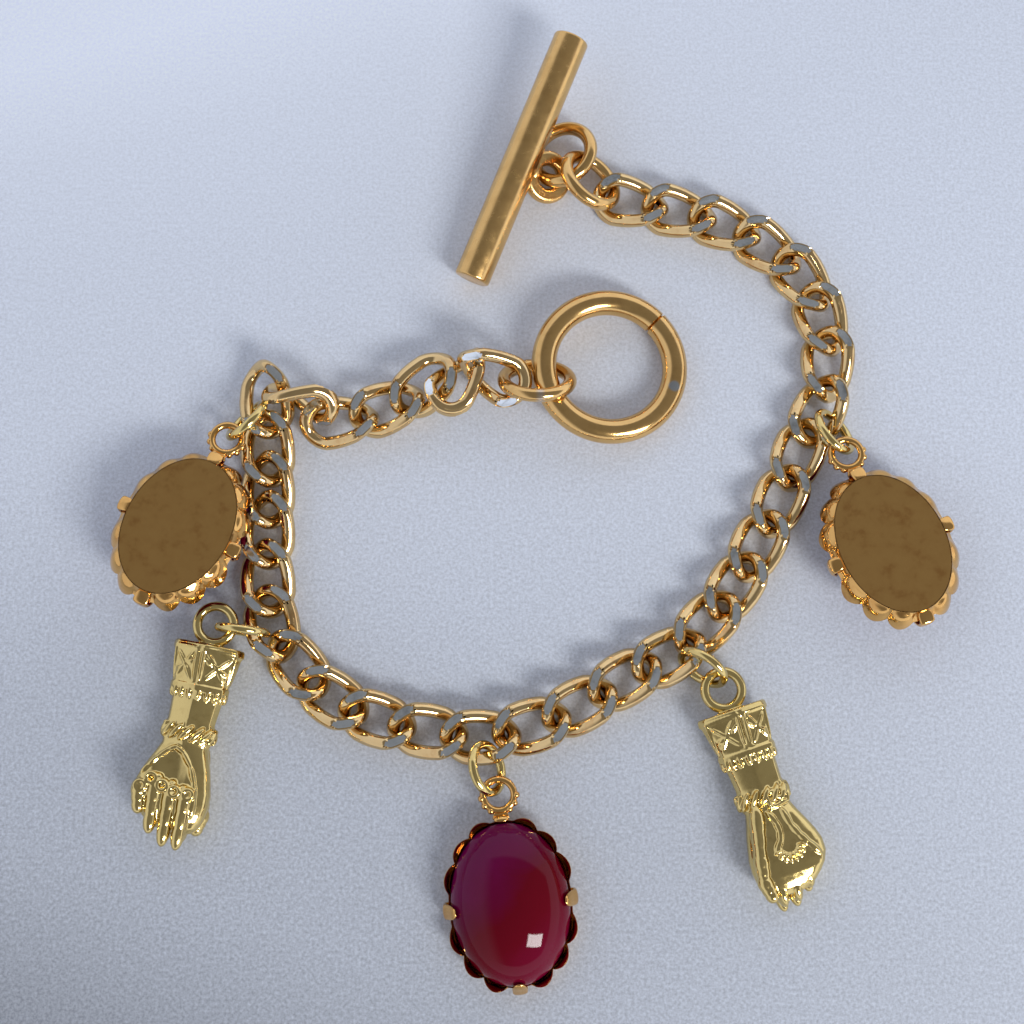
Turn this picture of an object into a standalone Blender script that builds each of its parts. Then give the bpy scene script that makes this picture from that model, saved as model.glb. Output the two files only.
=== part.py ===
"""A gold charm bracelet lying undone on a flat surface.

Thirty-four flat curb links run round from a toggle bar to a toggle ring. Five charms hang on jump rings
from the outer side of the chain: three oval stones in scalloped settings, one face up and two face down,
and two cast hands. Metres, +Z up, +X to the right and +Y to the far side, with the object lying on z = 0.
"""

from math import asin, atan2, cos, degrees, hypot, pi, radians, sin, sqrt

import bmesh
import bpy
from mathutils import Matrix, Vector

MM = 0.001

# Chain: curb links of round wire, twisted and pressed flat.
LINK_COUNT = 34
LINK_LENGTH = 9.3 * MM
LINK_WIDTH = 6.3 * MM
LINK_WIRE = 1.6 * MM
LINK_TWIST = radians(45)
LINK_SLACK = 0.4 * MM
LINK_FLAT_DEPTH = 0.41 * MM
LINK_ARC_STEPS = 6
LINK_SIDES = 6

# Round rings: outside diameter and wire.
RING_A = (8.66 * MM, 1.56 * MM)
RING_B = (8.46 * MM, 1.56 * MM)
END_RING = (9.15 * MM, 1.55 * MM)
JUMP_RING = (6.3 * MM, 1.0 * MM)
TOGGLE_RING = (18.3 * MM, 2.9 * MM)
RING_STEPS = 14
RING_SIDES = 6
TOGGLE_STEPS = 32
TOGGLE_SIDES = 8

# Toggle bar, with a flat eyelet soldered to its side and turned down.
BAR_LENGTH = 30.9 * MM
BAR_DIAMETER = 4.2 * MM
BAR_EDGE = 0.45 * MM
BAR_SIDES = 20
EYELET_OUTER = 6.2 * MM
EYELET_THICKNESS = 1.8 * MM
EYELET_CLEAR = 1.85 * MM
EYELET_ALONG = -0.38 * MM
EYELET_TURN = radians(32)
EYELET_STEPS = 18

# Oval stones.
STONE_LENGTH = 17.4 * MM
STONE_WIDTH = 13.0 * MM
STONE_DOME = 4.8 * MM
STONE_GIRDLE = 0.2 * MM
STONE_BEVEL_RISE = 0.55 * MM
STONE_BEVEL_INSET = 0.9 * MM
STONE_SEAT = 0.3 * MM
STONE_STEPS = 28
STONE_RISES = 5

# Settings: back plate, scalloped cup, prongs, tab and loop.
PLATE_THICKNESS = 0.5 * MM
PLATE_INSET = 0.8 * MM
CUP_PLAY = 0.25 * MM
CUP_FLARE = 1.0 * MM
CUP_HEIGHT = 2.3 * MM
CUP_SHOULDER = 0.95 * MM
CUP_WALL = 0.4 * MM
SCALLOPS_BETWEEN_PRONGS = 3
SCALLOP_STEPS = 4
SCALLOP_DEPTH = 0.4 * MM
SCALLOP_DROP = 0.5 * MM
PRONG_WIDTH = 1.35 * MM
PRONG_THICKNESS = 0.5 * MM
PRONG_PLAY = 0.25 * MM
SETTING_LOOP = (4.2 * MM, 0.9 * MM)
SETTING_LOOP_REACH = 11.75 * MM
SETTING_LOOP_RISE = 1.4 * MM
TAB_WIDTH = 2.0 * MM

# Hands: a cuff, a forearm, a rope wrist, the hand, four fingers and a thumb.
HAND_LENGTH = 23.4 * MM
HAND_WIDTH = 9.4 * MM
HAND_THICKNESS = 4.6 * MM
HAND_LOOP = (5.2 * MM, 1.1 * MM)
HAND_SIDES = 16
FINGER_WIDTH = 2.1 * MM
SOLDER = 0.25 * MM

# Route of the flat chain, in pitches: where every second link lies, from the toggle bar round the loop.
ROUTE = [
    (2.5, 6.49), (4.43, 6.01), (6.0, 4.84), (6.45, 3.03), (5.79, 1.15), (4.91, -0.72), (3.85, -2.28),
    (2.21, -3.39), (0.38, -4.3), (-1.65, -4.4), (-3.54, -3.75), (-4.71, -2.33), (-4.9, -0.41), (-4.95, 1.26),
]
ROUTE_END = (-5.07, 2.31)

# Links that don't lie flat: x, y and z in pitches, then heading, tilt and roll in degrees. The first five
# are lifted by the rings that hook them, and the last seven are the twisted end of the chain.
LIFTED_LINKS = {
    1: (2.474, 6.512, 0.291, -12.1, -1.2, 0.7),
    8: (6.230, 2.037, 0.319, -115.3, -7.7, 12.9),
    14: (3.089, -2.942, 0.304, -151.3, -3.2, 6.3),
    18: (-0.621, -4.518, 0.282, 179.9, -3.7, 3.2),
    23: (-4.753, -2.304, 0.300, 104.7, -5.0, 9.7),
    28: (-4.977, 2.239, 0.425, 95.1, 13.9, -4.7),
    29: (-4.253, 2.186, 0.567, -15.4, 5.8, 85.9),
    30: (-3.495, 1.793, 0.356, 6.2, -0.4, -5.3),
    31: (-2.535, 2.098, 0.326, 20.7, 0.6, -1.0),
    32: (-1.784, 2.525, 0.460, 41.8, 11.2, 9.0),
    33: (-1.096, 2.611, 0.539, 58.0, -12.4, -27.0),
    34: (-0.372, 2.691, 0.688, -27.5, -1.3, 40.9),
}

# Rings, in the same terms. Each passes through what it holds and leans on it.
RINGS = {
    "ring_a": (RING_A, (1.053, 7.521, 0.405, 2.8, 20.9, -9.9)),
    "ring_b": (RING_B, (1.628, 6.896, 0.532, -1.0, -35.8, -21.0)),
    "end_ring": (END_RING, (0.504, 2.588, 0.633, -2.7, 1.9, -48.2)),
    "jump_ruby": (JUMP_RING, (-0.479, -5.116, 0.474, -74.3, -2.1, 123.7)),
    "jump_hand_right": (JUMP_RING, (3.723, -3.179, 0.525, -37.8, -5.1, 69.9)),
    "jump_hand_left": (JUMP_RING, (-5.281, -2.451, 0.553, 172.4, -1.6, 89.3)),
    "jump_setting_right": (JUMP_RING, (6.502, 1.565, 0.451, -77.2, 25.8, -46.3)),
    "jump_setting_left": (JUMP_RING, (-5.344, 1.788, 0.502, -134.1, 0.0, 64.6)),
}
TOGGLE_RING_PLACE = (1.986, 2.932, 0.411, 179.9, 6.6, -0.1)
TOGGLE_BAR_PLACE = (0.200, 7.279, 0.733, 67.3)

# Loops of the charms: x, y and z in pitches, and the heading from the loop down the charm.
RUBY_LOOP = (-0.260, -5.618, 0.396, -83.5)
RIGHT_SETTING_LOOP = (6.691, 1.077, 0.593, -69.7)
LEFT_SETTING_LOOP = (-5.711, 1.384, 0.574, -113.0)
RIGHT_HAND_LOOP = (4.130, -3.605, -71.0)
LEFT_HAND_LOOP = (-5.844, -2.323, -101.6)

PITCH = LINK_LENGTH - 2 * LINK_WIRE - LINK_SLACK
LINK_HALF_X = (LINK_LENGTH - LINK_WIRE) / 2
LINK_HALF_Y = (LINK_WIDTH - LINK_WIRE) / 2
BAR_RADIUS = BAR_DIAMETER / 2
STONE_BASE = PLATE_THICKNESS + STONE_SEAT
STONE_EDGE = STONE_BASE + STONE_BEVEL_RISE + STONE_GIRDLE


def clear_scene():
    """Empties the scene."""
    for obj in list(bpy.data.objects):
        bpy.data.objects.remove(obj, do_unlink=True)


def metal_or_stone(name, colour, metallic, roughness):
    """A Principled material from an sRGB hex colour."""
    material = bpy.data.materials.new(name)
    material.use_nodes = True
    shader = material.node_tree.nodes["Principled BSDF"]
    linear = [(int(colour[i:i + 2], 16) / 255) ** 2.2 for i in (0, 2, 4)]
    shader.inputs["Base Color"].default_value = (*linear, 1)
    shader.inputs["Metallic"].default_value = metallic
    shader.inputs["Roughness"].default_value = roughness
    return material


def pose(x, y, z, heading, tilt=0.0, roll=0.0):
    """A placement: turned to its heading, nose up by tilt, then rolled about its own x axis. Degrees."""
    turn = Matrix.Rotation(radians(heading), 4, "Z")
    lift = Matrix.Rotation(-radians(tilt), 4, "Y")
    lean = Matrix.Rotation(radians(roll), 4, "X")
    return Matrix.Translation((x, y, z)) @ turn @ lift @ lean


def pitched(x, y, z, heading, tilt=0.0, roll=0.0):
    """A placement whose position is in pitches of the chain."""
    return pose(x * PITCH, y * PITCH, z * PITCH, heading, tilt, roll)


def loft(sections, closed=False):
    """A body through rings of points, each with as many points. Its ends are filled unless it closes."""
    mesh = bmesh.new()
    rings = [[mesh.verts.new(point) for point in section] for section in sections]
    count = len(rings[0])
    pairs = list(zip(rings, rings[1:]))
    if closed:
        pairs.append((rings[-1], rings[0]))
    for low, high in pairs:
        for i in range(count):
            j = (i + 1) % count
            mesh.faces.new((low[i], low[j], high[j], high[i]))
    if not closed:
        mesh.faces.new(list(reversed(rings[0])))
        mesh.faces.new(rings[-1])
    bmesh.ops.recalc_face_normals(mesh, faces=mesh.faces)
    return mesh


def torus(outer, wire, steps, sides):
    """A round ring in the XY plane, sized over its wire."""
    middle = (outer - wire) / 2
    sections = []
    for i in range(steps):
        turn = 2 * pi * i / steps
        out = Vector((cos(turn), sin(turn), 0))
        section = []
        for k in range(sides):
            angle = 2 * pi * (k + 0.5) / sides
            section.append(out * (middle + wire / 2 * cos(angle)) + Vector((0, 0, wire / 2 * sin(angle))))
        sections.append(section)
    return loft(sections, closed=True)


def finished(name, mesh, sharp=40):
    """Turns a bmesh into mesh data, smooth but for its sharp edges."""
    data = bpy.data.meshes.new(name)
    mesh.to_mesh(data)
    mesh.free()
    data.shade_smooth()
    data.set_sharp_from_angle(angle=radians(sharp))
    return data


def soldered(name, bodies):
    """One body from several that run into each other."""
    parts = []
    for i, mesh in enumerate(bodies):
        part = bpy.data.objects.new(f"{name}_{i}", finished(f"{name}_{i}", mesh))
        bpy.context.scene.collection.objects.link(part)
        parts.append(part)
    whole = parts[0]
    for part in parts[1:]:
        union = whole.modifiers.new("solder", "BOOLEAN")
        union.operation = "UNION"
        union.object = part
    bpy.context.view_layer.update()
    graph = bpy.context.evaluated_depsgraph_get()
    data = bpy.data.meshes.new_from_object(whole.evaluated_get(graph))
    data.name = name
    for part in parts:
        bpy.data.objects.remove(part, do_unlink=True)
    data.shade_smooth()
    data.set_sharp_from_angle(angle=radians(40))
    return data


def link_path():
    """Points along the middle of a link's wire, with the direction that was up before it was twisted."""
    straight = LINK_HALF_X - LINK_HALF_Y
    flat = [(0, LINK_HALF_Y)]
    for side in (1, -1):
        for i in range(LINK_ARC_STEPS + 1):
            angle = side * pi / 2 - pi * i / LINK_ARC_STEPS
            flat.append((side * straight + LINK_HALF_Y * cos(angle), LINK_HALF_Y * sin(angle)))
        if side == 1:
            flat.append((0, -LINK_HALF_Y))
    path = []
    for x, y in flat:
        turn = -LINK_TWIST * x / LINK_HALF_X
        path.append((Vector((x, y * cos(turn), y * sin(turn))), Vector((0, -sin(turn), cos(turn)))))
    return path


def link_mesh():
    """A curb link: an oval of round wire, twisted about its length, with its high spots pressed flat."""
    path = link_path()
    flat = link_flat_height()
    sections = []
    for i, (point, up) in enumerate(path):
        along = (path[(i + 1) % len(path)][0] - path[i - 1][0]).normalized()
        side = along.cross(up).normalized()
        level = side.cross(along)
        section = []
        for k in range(LINK_SIDES):
            angle = 2 * pi * (k + 0.5) / LINK_SIDES
            spot = point + (side * cos(angle) + level * sin(angle)) * LINK_WIRE / 2
            spot.z = max(-flat, min(flat, spot.z))
            section.append(spot)
        sections.append(section)
    return finished("link", loft(sections, closed=True))


def link_flat_height():
    """Half the thickness of the pressed link: the top of the twisted wire less what is pressed away."""
    top = max(point.z for point, up in link_path())
    return top + LINK_WIRE / 2 - LINK_FLAT_DEPTH


def route_at(place):
    """A point on the smooth curve through the route, which passes each listed point at a whole number."""
    points = [Vector(point) for point in ROUTE]
    points.append(2 * Vector(ROUTE_END) - points[-1])
    points.append(2 * points[-1] - points[-2])
    points.insert(0, 2 * points[0] - points[1])
    row = int(place)
    t = place - row
    p0, p1, p2, p3 = points[row:row + 4]
    slope = p2 - p0
    square = 2 * p0 - 5 * p1 + 4 * p2 - p3
    cube = 3 * p1 - p0 - 3 * p2 + p3
    return (2 * p1 + slope * t + square * t ** 2 + cube * t ** 3) / 2


def flat_link_place(number):
    """Where a link lies on the route, and its heading along it."""
    here = route_at((number - 1) / 2)
    before = route_at(max(0, number - 2) / 2)
    after = route_at(number / 2)
    way = after - before
    return pose(here.x * PITCH, here.y * PITCH, link_flat_height(), degrees(atan2(way.y, way.x)))


def bar_mesh():
    """The toggle bar along X, its ends rounded, with the eyelet on its -Y side."""
    bar = bmesh.new()
    bmesh.ops.create_cone(
        bar, cap_ends=True, segments=BAR_SIDES, radius1=BAR_RADIUS, radius2=BAR_RADIUS, depth=BAR_LENGTH,
        matrix=Matrix.Rotation(pi / 2, 4, "Y"))
    rims = [edge for edge in bar.edges if abs(edge.verts[0].co.x - edge.verts[1].co.x) < BAR_EDGE]
    bmesh.ops.bevel(bar, geom=rims, offset=BAR_EDGE, segments=2, profile=0.6, affect="EDGES")
    eyelet = torus(EYELET_OUTER, EYELET_THICKNESS, EYELET_STEPS, RING_SIDES)
    out = BAR_RADIUS + EYELET_CLEAR
    place = Matrix.Translation((EYELET_ALONG, 0, 0)) @ Matrix.Rotation(EYELET_TURN, 4, "X")
    bmesh.ops.transform(eyelet, matrix=place @ Matrix.Translation((0, -out, 0)), verts=eyelet.verts)
    return soldered("toggle_bar", [bar, eyelet])


def oval(half_x, half_y, z, steps, centre_x=0.0):
    """Points round an oval."""
    points = []
    for i in range(steps):
        turn = 2 * pi * i / steps
        points.append(Vector((centre_x + half_x * cos(turn), half_y * sin(turn), z)))
    return points


def stone_mesh():
    """An oval cabochon seen from its loop's frame, flat below and domed above."""
    half_x, half_y = STONE_LENGTH / 2, STONE_WIDTH / 2
    base = STONE_BASE - SETTING_LOOP_RISE
    edge = STONE_EDGE - SETTING_LOOP_RISE
    centre = SETTING_LOOP_REACH
    rings = [
        oval(half_x - STONE_BEVEL_INSET, half_y - STONE_BEVEL_INSET, base, STONE_STEPS, centre),
        oval(half_x, half_y, base + STONE_BEVEL_RISE, STONE_STEPS, centre),
    ]
    for i in range(STONE_RISES + 1):
        turn = i / (STONE_RISES + 0.6) * pi / 2
        share = cos(turn)
        height = edge + STONE_DOME * sin(turn)
        rings.append(oval(half_x * share, half_y * share, height, STONE_STEPS, centre))
    dome = loft(rings)
    top = max(dome.faces, key=lambda face: face.calc_center_median().z)
    crown = bmesh.ops.poke(dome, faces=[top])["verts"][0]
    crown.co.z = edge + STONE_DOME
    return finished("cabochon", dome, 60)


def cup_rings():
    """Rings of the cup, outside then inside: its back, its shoulder, its scalloped lip, and back to its floor."""
    steps = 4 * (SCALLOPS_BETWEEN_PRONGS + 1) * SCALLOP_STEPS
    half_x, half_y = STONE_LENGTH / 2, STONE_WIDTH / 2
    shoulder = CUP_PLAY + CUP_WALL
    rings = [[] for _ in range(6)]
    for i in range(steps):
        turn = 2 * pi * i / steps
        wave = scallop_wave(i, steps)
        lip = CUP_FLARE - SCALLOP_DEPTH * (1 - wave)
        height = CUP_HEIGHT - SCALLOP_DROP * (1 - wave)
        direction = Vector((cos(turn) / half_x, sin(turn) / half_y)).normalized()
        edge = Vector((half_x * cos(turn), half_y * sin(turn)))
        profile = (
            (-PLATE_INSET, 0),
            (shoulder, CUP_SHOULDER),
            (lip, height),
            (lip - CUP_WALL, height),
            (CUP_PLAY, CUP_SHOULDER + CUP_WALL / 2),
            (-PLATE_INSET - CUP_WALL / 2, PLATE_THICKNESS),
        )
        for ring, (out, z) in zip(rings, profile):
            ring.append((*(edge + direction * out), z))
    shift = Vector((SETTING_LOOP_REACH, 0, -SETTING_LOOP_RISE))
    return [[Vector(point) + shift for point in ring] for ring in rings]


def scallop_wave(i, steps):
    """1 at the middle of a scallop and 0 between scallops and at the prongs."""
    quarter = steps // 4
    within = (i % quarter) / quarter
    prong = 1 / (2 * (SCALLOPS_BETWEEN_PRONGS + 1))
    if within < prong or within > 1 - prong:
        return 0.0
    share = (within - prong) / (1 - 2 * prong) * SCALLOPS_BETWEEN_PRONGS
    return abs(sin(pi * share))


def dome_height(out, half):
    """Height of the stone's dome over its edge, at a share of the way out."""
    return STONE_DOME * sqrt(max(0.0, 1 - (out / half) ** 2))


def prong(direction):
    """A prong at one end or side of the oval, folded over the stone. Its outline is in the upright plane."""
    half = STONE_LENGTH / 2 if direction.x else STONE_WIDTH / 2
    stem = half + PRONG_PLAY
    tip = half - 0.7 * PRONG_WIDTH
    top = STONE_EDGE + dome_height(tip, half) + PRONG_PLAY
    bend = half - 0.1 * PRONG_WIDTH
    inner = [
        (stem, CUP_SHOULDER),
        (stem, STONE_EDGE + PRONG_PLAY),
        (bend, STONE_EDGE + dome_height(bend, half) + 2.2 * PRONG_PLAY),
        (tip, top + PRONG_PLAY / 2),
    ]
    outer = [
        (tip, top + PRONG_PLAY / 2 + 0.7 * PRONG_THICKNESS),
        (half, top - 0.1 * PRONG_WIDTH + 0.4 * PRONG_THICKNESS),
        (stem + PRONG_THICKNESS, STONE_EDGE + 2 * PRONG_PLAY + PRONG_THICKNESS),
        (stem + PRONG_THICKNESS, CUP_SHOULDER),
    ]
    across = Vector((-direction.y, direction.x, 0))
    centre = Vector((SETTING_LOOP_REACH, 0, -SETTING_LOOP_RISE))
    sections = []
    for side in (-1, 1):
        shift = centre + across * side * PRONG_WIDTH / 2
        sections.append([shift + direction * out + Vector((0, 0, z)) for out, z in inner + outer])
    return loft(sections)


def tab():
    """The strip from the cup's wall to the loop."""
    outer, wire = SETTING_LOOP
    start = SETTING_LOOP_REACH - STONE_LENGTH / 2 - CUP_PLAY - CUP_WALL / 2
    end = outer / 2 - wire / 2
    half = TAB_WIDTH / 2
    sections = []
    for x, low, high, wide in (
        (start, CUP_SHOULDER, CUP_HEIGHT - SCALLOP_DROP, half),
        (end, SETTING_LOOP_RISE - 0.3 * wire, SETTING_LOOP_RISE + 0.3 * wire, 0.8 * half),
    ):
        low -= SETTING_LOOP_RISE
        high -= SETTING_LOOP_RISE
        corners = ((-wide, low), (wide, low), (wide, high), (-wide, high))
        sections.append([Vector((x, y, z)) for y, z in corners])
    return loft(sections)


def setting_mesh():
    """The whole setting, with its loop's centre at the origin and the stone's side up."""
    outer, wire = SETTING_LOOP
    bodies = [loft(cup_rings()), tab(), torus(outer, wire, RING_STEPS, RING_SIDES)]
    for direction in (Vector((1, 0, 0)), Vector((0, 1, 0)), Vector((0, -1, 0)), Vector((-1, 0, 0))):
        bodies.append(prong(direction))
    return soldered("setting", bodies)


# Sections of a hand, from the cuff down: share of its length, reach to the left and to the right of the loop's
# line as shares of its width, and share of its thickness.
HAND_SECTIONS = [
    (0.000, 0.415, 0.415, 0.90),
    (0.035, 0.425, 0.425, 0.96),
    (0.200, 0.345, 0.335, 0.84),
    (0.225, 0.360, 0.350, 0.90),
    (0.250, 0.305, 0.300, 0.78),
    (0.370, 0.290, 0.275, 0.74),
    (0.390, 0.320, 0.300, 0.84),
    (0.460, 0.320, 0.300, 0.84),
    (0.485, 0.285, 0.265, 0.68),
    (0.580, 0.390, 0.345, 0.72),
    (0.690, 0.515, 0.415, 0.80),
    (0.790, 0.545, 0.425, 0.84),
    (0.860, 0.470, 0.390, 0.80),
    (0.900, 0.300, 0.250, 0.50),
]
# Fingers on the upper side, each from its knuckle to its tip: share of the length, then of the width.
FINGERS = [
    ((0.760, -0.380), (0.905, -0.330)),
    ((0.765, -0.160), (0.950, -0.140)),
    ((0.765, 0.050), (0.955, 0.050)),
    ((0.760, 0.235), (0.915, 0.215)),
]
THUMB = ((0.560, 0.215), (0.860, 0.330))


def hand_spot(along, across):
    """A place on the hand from its shares of length and width."""
    start = HAND_LOOP[0] / 2 - SOLDER
    return Vector((start + along * HAND_LENGTH, across * HAND_WIDTH, 0))


def hand_section(along, left, right, thick):
    """A rounded oval across the hand, fuller at its corners than an ellipse."""
    centre = hand_spot(along, (right - left) / 2)
    half = (left + right) / 2 * HAND_WIDTH
    depth = thick * HAND_THICKNESS / 2
    points = []
    for i in range(HAND_SIDES):
        turn = 2 * pi * (i + 0.5) / HAND_SIDES
        across = abs(cos(turn)) ** 0.75 * (1 if cos(turn) > 0 else -1)
        up = abs(sin(turn)) ** 0.75 * (1 if sin(turn) > 0 else -1)
        points.append(centre + Vector((0, half * across, depth * up)))
    return points


def finger(start, end, width, height):
    """A rounded finger between two places, its middle at the given height."""
    first, last = hand_spot(*start), hand_spot(*end)
    way = (last - first).normalized()
    side = Vector((0, 0, 1)).cross(way)
    length = (last - first).length
    sections = []
    for share, swell in ((0.0, 0.55), (0.06, 0.9), (0.35, 1.0), (0.8, 0.92), (0.95, 0.7), (1.0, 0.35)):
        middle = first + way * length * share + Vector((0, 0, height))
        ring = []
        for k in range(8):
            turn = 2 * pi * (k + 0.5) / 8
            ring.append(middle + (side * cos(turn) + Vector((0, 0, sin(turn)))) * width / 2 * swell)
        sections.append(ring)
    return loft(sections)


def hand_mesh():
    """The cast hand with its loop's centre at the origin, the fingers' side up."""
    outer, wire = HAND_LOOP
    bodies = [loft([hand_section(*row) for row in HAND_SECTIONS])]
    bodies.append(torus(outer, wire, RING_STEPS, RING_SIDES))
    lift = (HAND_THICKNESS - FINGER_WIDTH) / 2
    for start, end in FINGERS:
        bodies.append(finger(start, end, FINGER_WIDTH, lift))
    bodies.append(finger(*THUMB, FINGER_WIDTH, -lift))
    return soldered("hand", bodies)


def add(name, mesh, material, place, parent):
    """Adds one sub-part at its place."""
    obj = bpy.data.objects.new(name, mesh)
    bpy.context.scene.collection.objects.link(obj)
    if not obj.data.materials:
        obj.data.materials.append(material)
    obj.parent = parent
    obj.matrix_local = place
    return obj


def face_down_tilt(loop_height):
    """How far a face-down charm's far end lifts, so that its dome touches the surface."""
    low, high = 0.0, 30.0
    for _ in range(40):
        tilt = (low + high) / 2
        lean = radians(tilt)
        centre = loop_height + SETTING_LOOP_REACH * sin(lean) - (STONE_EDGE - SETTING_LOOP_RISE) * cos(lean)
        reach = hypot(STONE_LENGTH / 2 * sin(lean), STONE_DOME * cos(lean))
        if centre < reach:
            low = tilt
        else:
            high = tilt
    return tilt


def face_up_tilt(loop_height):
    """How far a face-up charm's far end drops, so that its back plate's end touches the surface."""
    reach = SETTING_LOOP_REACH + STONE_LENGTH / 2 - PLATE_INSET
    return -degrees(asin((loop_height - SETTING_LOOP_RISE) / reach))


def bar_tilt(height):
    """How far the toggle bar tilts with its middle at a height and its lower end on the surface."""
    reach = hypot(BAR_LENGTH / 2, BAR_RADIUS)
    return degrees(asin(height / reach) - atan2(BAR_RADIUS, BAR_LENGTH / 2))


def build_chain(gold, parent):
    """All the links."""
    mesh = link_mesh()
    for number in range(1, LINK_COUNT + 1):
        if number in LIFTED_LINKS:
            place = pitched(*LIFTED_LINKS[number])
        else:
            place = flat_link_place(number)
        add(f"link_{number:02d}", mesh, gold, place, parent)


def build_clasp(gold, parent):
    """The toggle bar and the toggle ring."""
    x, y, z, heading = TOGGLE_BAR_PLACE
    add("toggle_bar", bar_mesh(), gold, pitched(x, y, z, heading, bar_tilt(z * PITCH)), parent)
    ring = finished("toggle_ring", torus(*TOGGLE_RING, TOGGLE_STEPS, TOGGLE_SIDES))
    add("toggle_ring", ring, gold, pitched(*TOGGLE_RING_PLACE), parent)


def build_rings(gold, parent):
    """The round rings that join the rest."""
    for name, ((outer, wire), place) in RINGS.items():
        mesh = finished(name, torus(outer, wire, RING_STEPS, RING_SIDES))
        add(name, mesh, gold, pitched(*place), parent)


def build_stone_charms(gold, stone, parent):
    """Three settings and their cabochons."""
    setting, cabochon = setting_mesh(), stone_mesh()
    height = RUBY_LOOP[2] * PITCH
    places = {"ruby": pitched(*RUBY_LOOP, face_up_tilt(height))}
    for name, loop in (("left", LEFT_SETTING_LOOP), ("right", RIGHT_SETTING_LOOP)):
        places[name] = pitched(*loop, face_down_tilt(loop[2] * PITCH), 180)
    for name, place in places.items():
        add(f"setting_{name}", setting, gold, place, parent)
        add(f"cabochon_{name}", cabochon, stone, place, parent)


def build_hands(gold, parent):
    """The two hands, one with its fingers up and one turned over."""
    mesh = hand_mesh()
    height = HAND_THICKNESS / 2
    for name, loop, roll in (("left", LEFT_HAND_LOOP, 0), ("right", RIGHT_HAND_LOOP, 180)):
        x, y, heading = loop
        place = pose(x * PITCH, y * PITCH, height, heading, 0, roll)
        add(f"hand_{name}", mesh, gold, place, parent)


def centre_on_origin(parent):
    """Moves the whole so that the middle of its box is over the origin."""
    bpy.context.view_layer.update()
    corners = [obj.matrix_world @ vertex.co for obj in parent.children for vertex in obj.data.vertices]
    middle_x = (min(p.x for p in corners) + max(p.x for p in corners)) / 2
    middle_y = (min(p.y for p in corners) + max(p.y for p in corners)) / 2
    parent.location = (-middle_x, -middle_y, 0)
    bpy.context.view_layer.update()


def main():
    clear_scene()
    bracelet = bpy.data.objects.new("bracelet", None)
    bpy.context.scene.collection.objects.link(bracelet)
    chain_gold = metal_or_stone("polished chain gold", "c99a3f", 1.0, 0.18)
    ring_gold = metal_or_stone("pale ring gold", "cdb25e", 1.0, 0.2)
    clasp_gold = metal_or_stone("brushed clasp gold", "c79a45", 1.0, 0.35)
    setting_gold = metal_or_stone("satin setting gold", "8a6530", 1.0, 0.45)
    hand_gold = metal_or_stone("cast charm gold", "c9a84e", 1.0, 0.25)
    ruby = metal_or_stone("ruby stone", "5a0418", 0.0, 0.06)
    build_chain(chain_gold, bracelet)
    build_clasp(clasp_gold, bracelet)
    build_rings(ring_gold, bracelet)
    build_stone_charms(setting_gold, ruby, bracelet)
    build_hands(hand_gold, bracelet)
    centre_on_origin(bracelet)


main()
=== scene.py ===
"""Dresses a gold charm bracelet that lies undone on a pale surface.

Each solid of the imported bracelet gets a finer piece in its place: curb links with rubbed flats, round rings,
a toggle clasp, three stones in scalloped settings and two cast hands.
"""

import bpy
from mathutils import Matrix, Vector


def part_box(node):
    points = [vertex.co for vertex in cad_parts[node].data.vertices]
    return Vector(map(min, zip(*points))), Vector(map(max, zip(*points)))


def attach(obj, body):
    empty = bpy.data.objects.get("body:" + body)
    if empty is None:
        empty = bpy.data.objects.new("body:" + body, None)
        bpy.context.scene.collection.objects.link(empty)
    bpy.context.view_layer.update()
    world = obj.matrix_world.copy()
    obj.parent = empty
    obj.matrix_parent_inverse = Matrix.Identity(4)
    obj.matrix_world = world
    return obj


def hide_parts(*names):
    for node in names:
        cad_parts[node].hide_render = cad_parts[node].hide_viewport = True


bl_info = {
    "name": "Charm bracelet",
    "version": (1, 0, 0),
    "blender": (4, 5, 0),
    "location": "3D View > Sidebar > Bracelet",
    "description": "Models the chain, clasp, stone charms and cast hands of a charm bracelet",
    "category": "Add Mesh",
}

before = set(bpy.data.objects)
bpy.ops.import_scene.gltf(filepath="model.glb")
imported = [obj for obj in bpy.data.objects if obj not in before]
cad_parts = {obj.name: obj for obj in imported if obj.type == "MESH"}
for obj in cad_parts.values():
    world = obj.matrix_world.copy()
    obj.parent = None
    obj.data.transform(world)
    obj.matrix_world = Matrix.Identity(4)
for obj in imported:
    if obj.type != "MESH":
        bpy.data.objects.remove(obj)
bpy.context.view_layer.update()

from math import asin, atan2, cos, degrees, hypot, pi, radians, sin, sqrt

import bmesh
import bpy
from bpy.props import FloatProperty, FloatVectorProperty, PointerProperty
from mathutils import Matrix, Vector

MM = 0.001

# How close counts as touching when points and faces are picked.
NEAR = 0.01 * MM

# How the chain lies, in pitches of the chain: the middle of every second link, from the toggle bar round.
ROUTE = [
    (2.5, 6.49), (4.43, 6.01), (6.0, 4.84), (6.45, 3.03), (5.79, 1.15), (4.91, -0.72), (3.85, -2.28),
    (2.21, -3.39), (0.38, -4.3), (-1.65, -4.4), (-3.54, -3.75), (-4.71, -2.33), (-4.9, -0.41), (-4.95, 1.26),
]
ROUTE_END = (-5.07, 2.31)
LINK_COUNT = 34
LINK_TWIST = radians(45)

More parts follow.
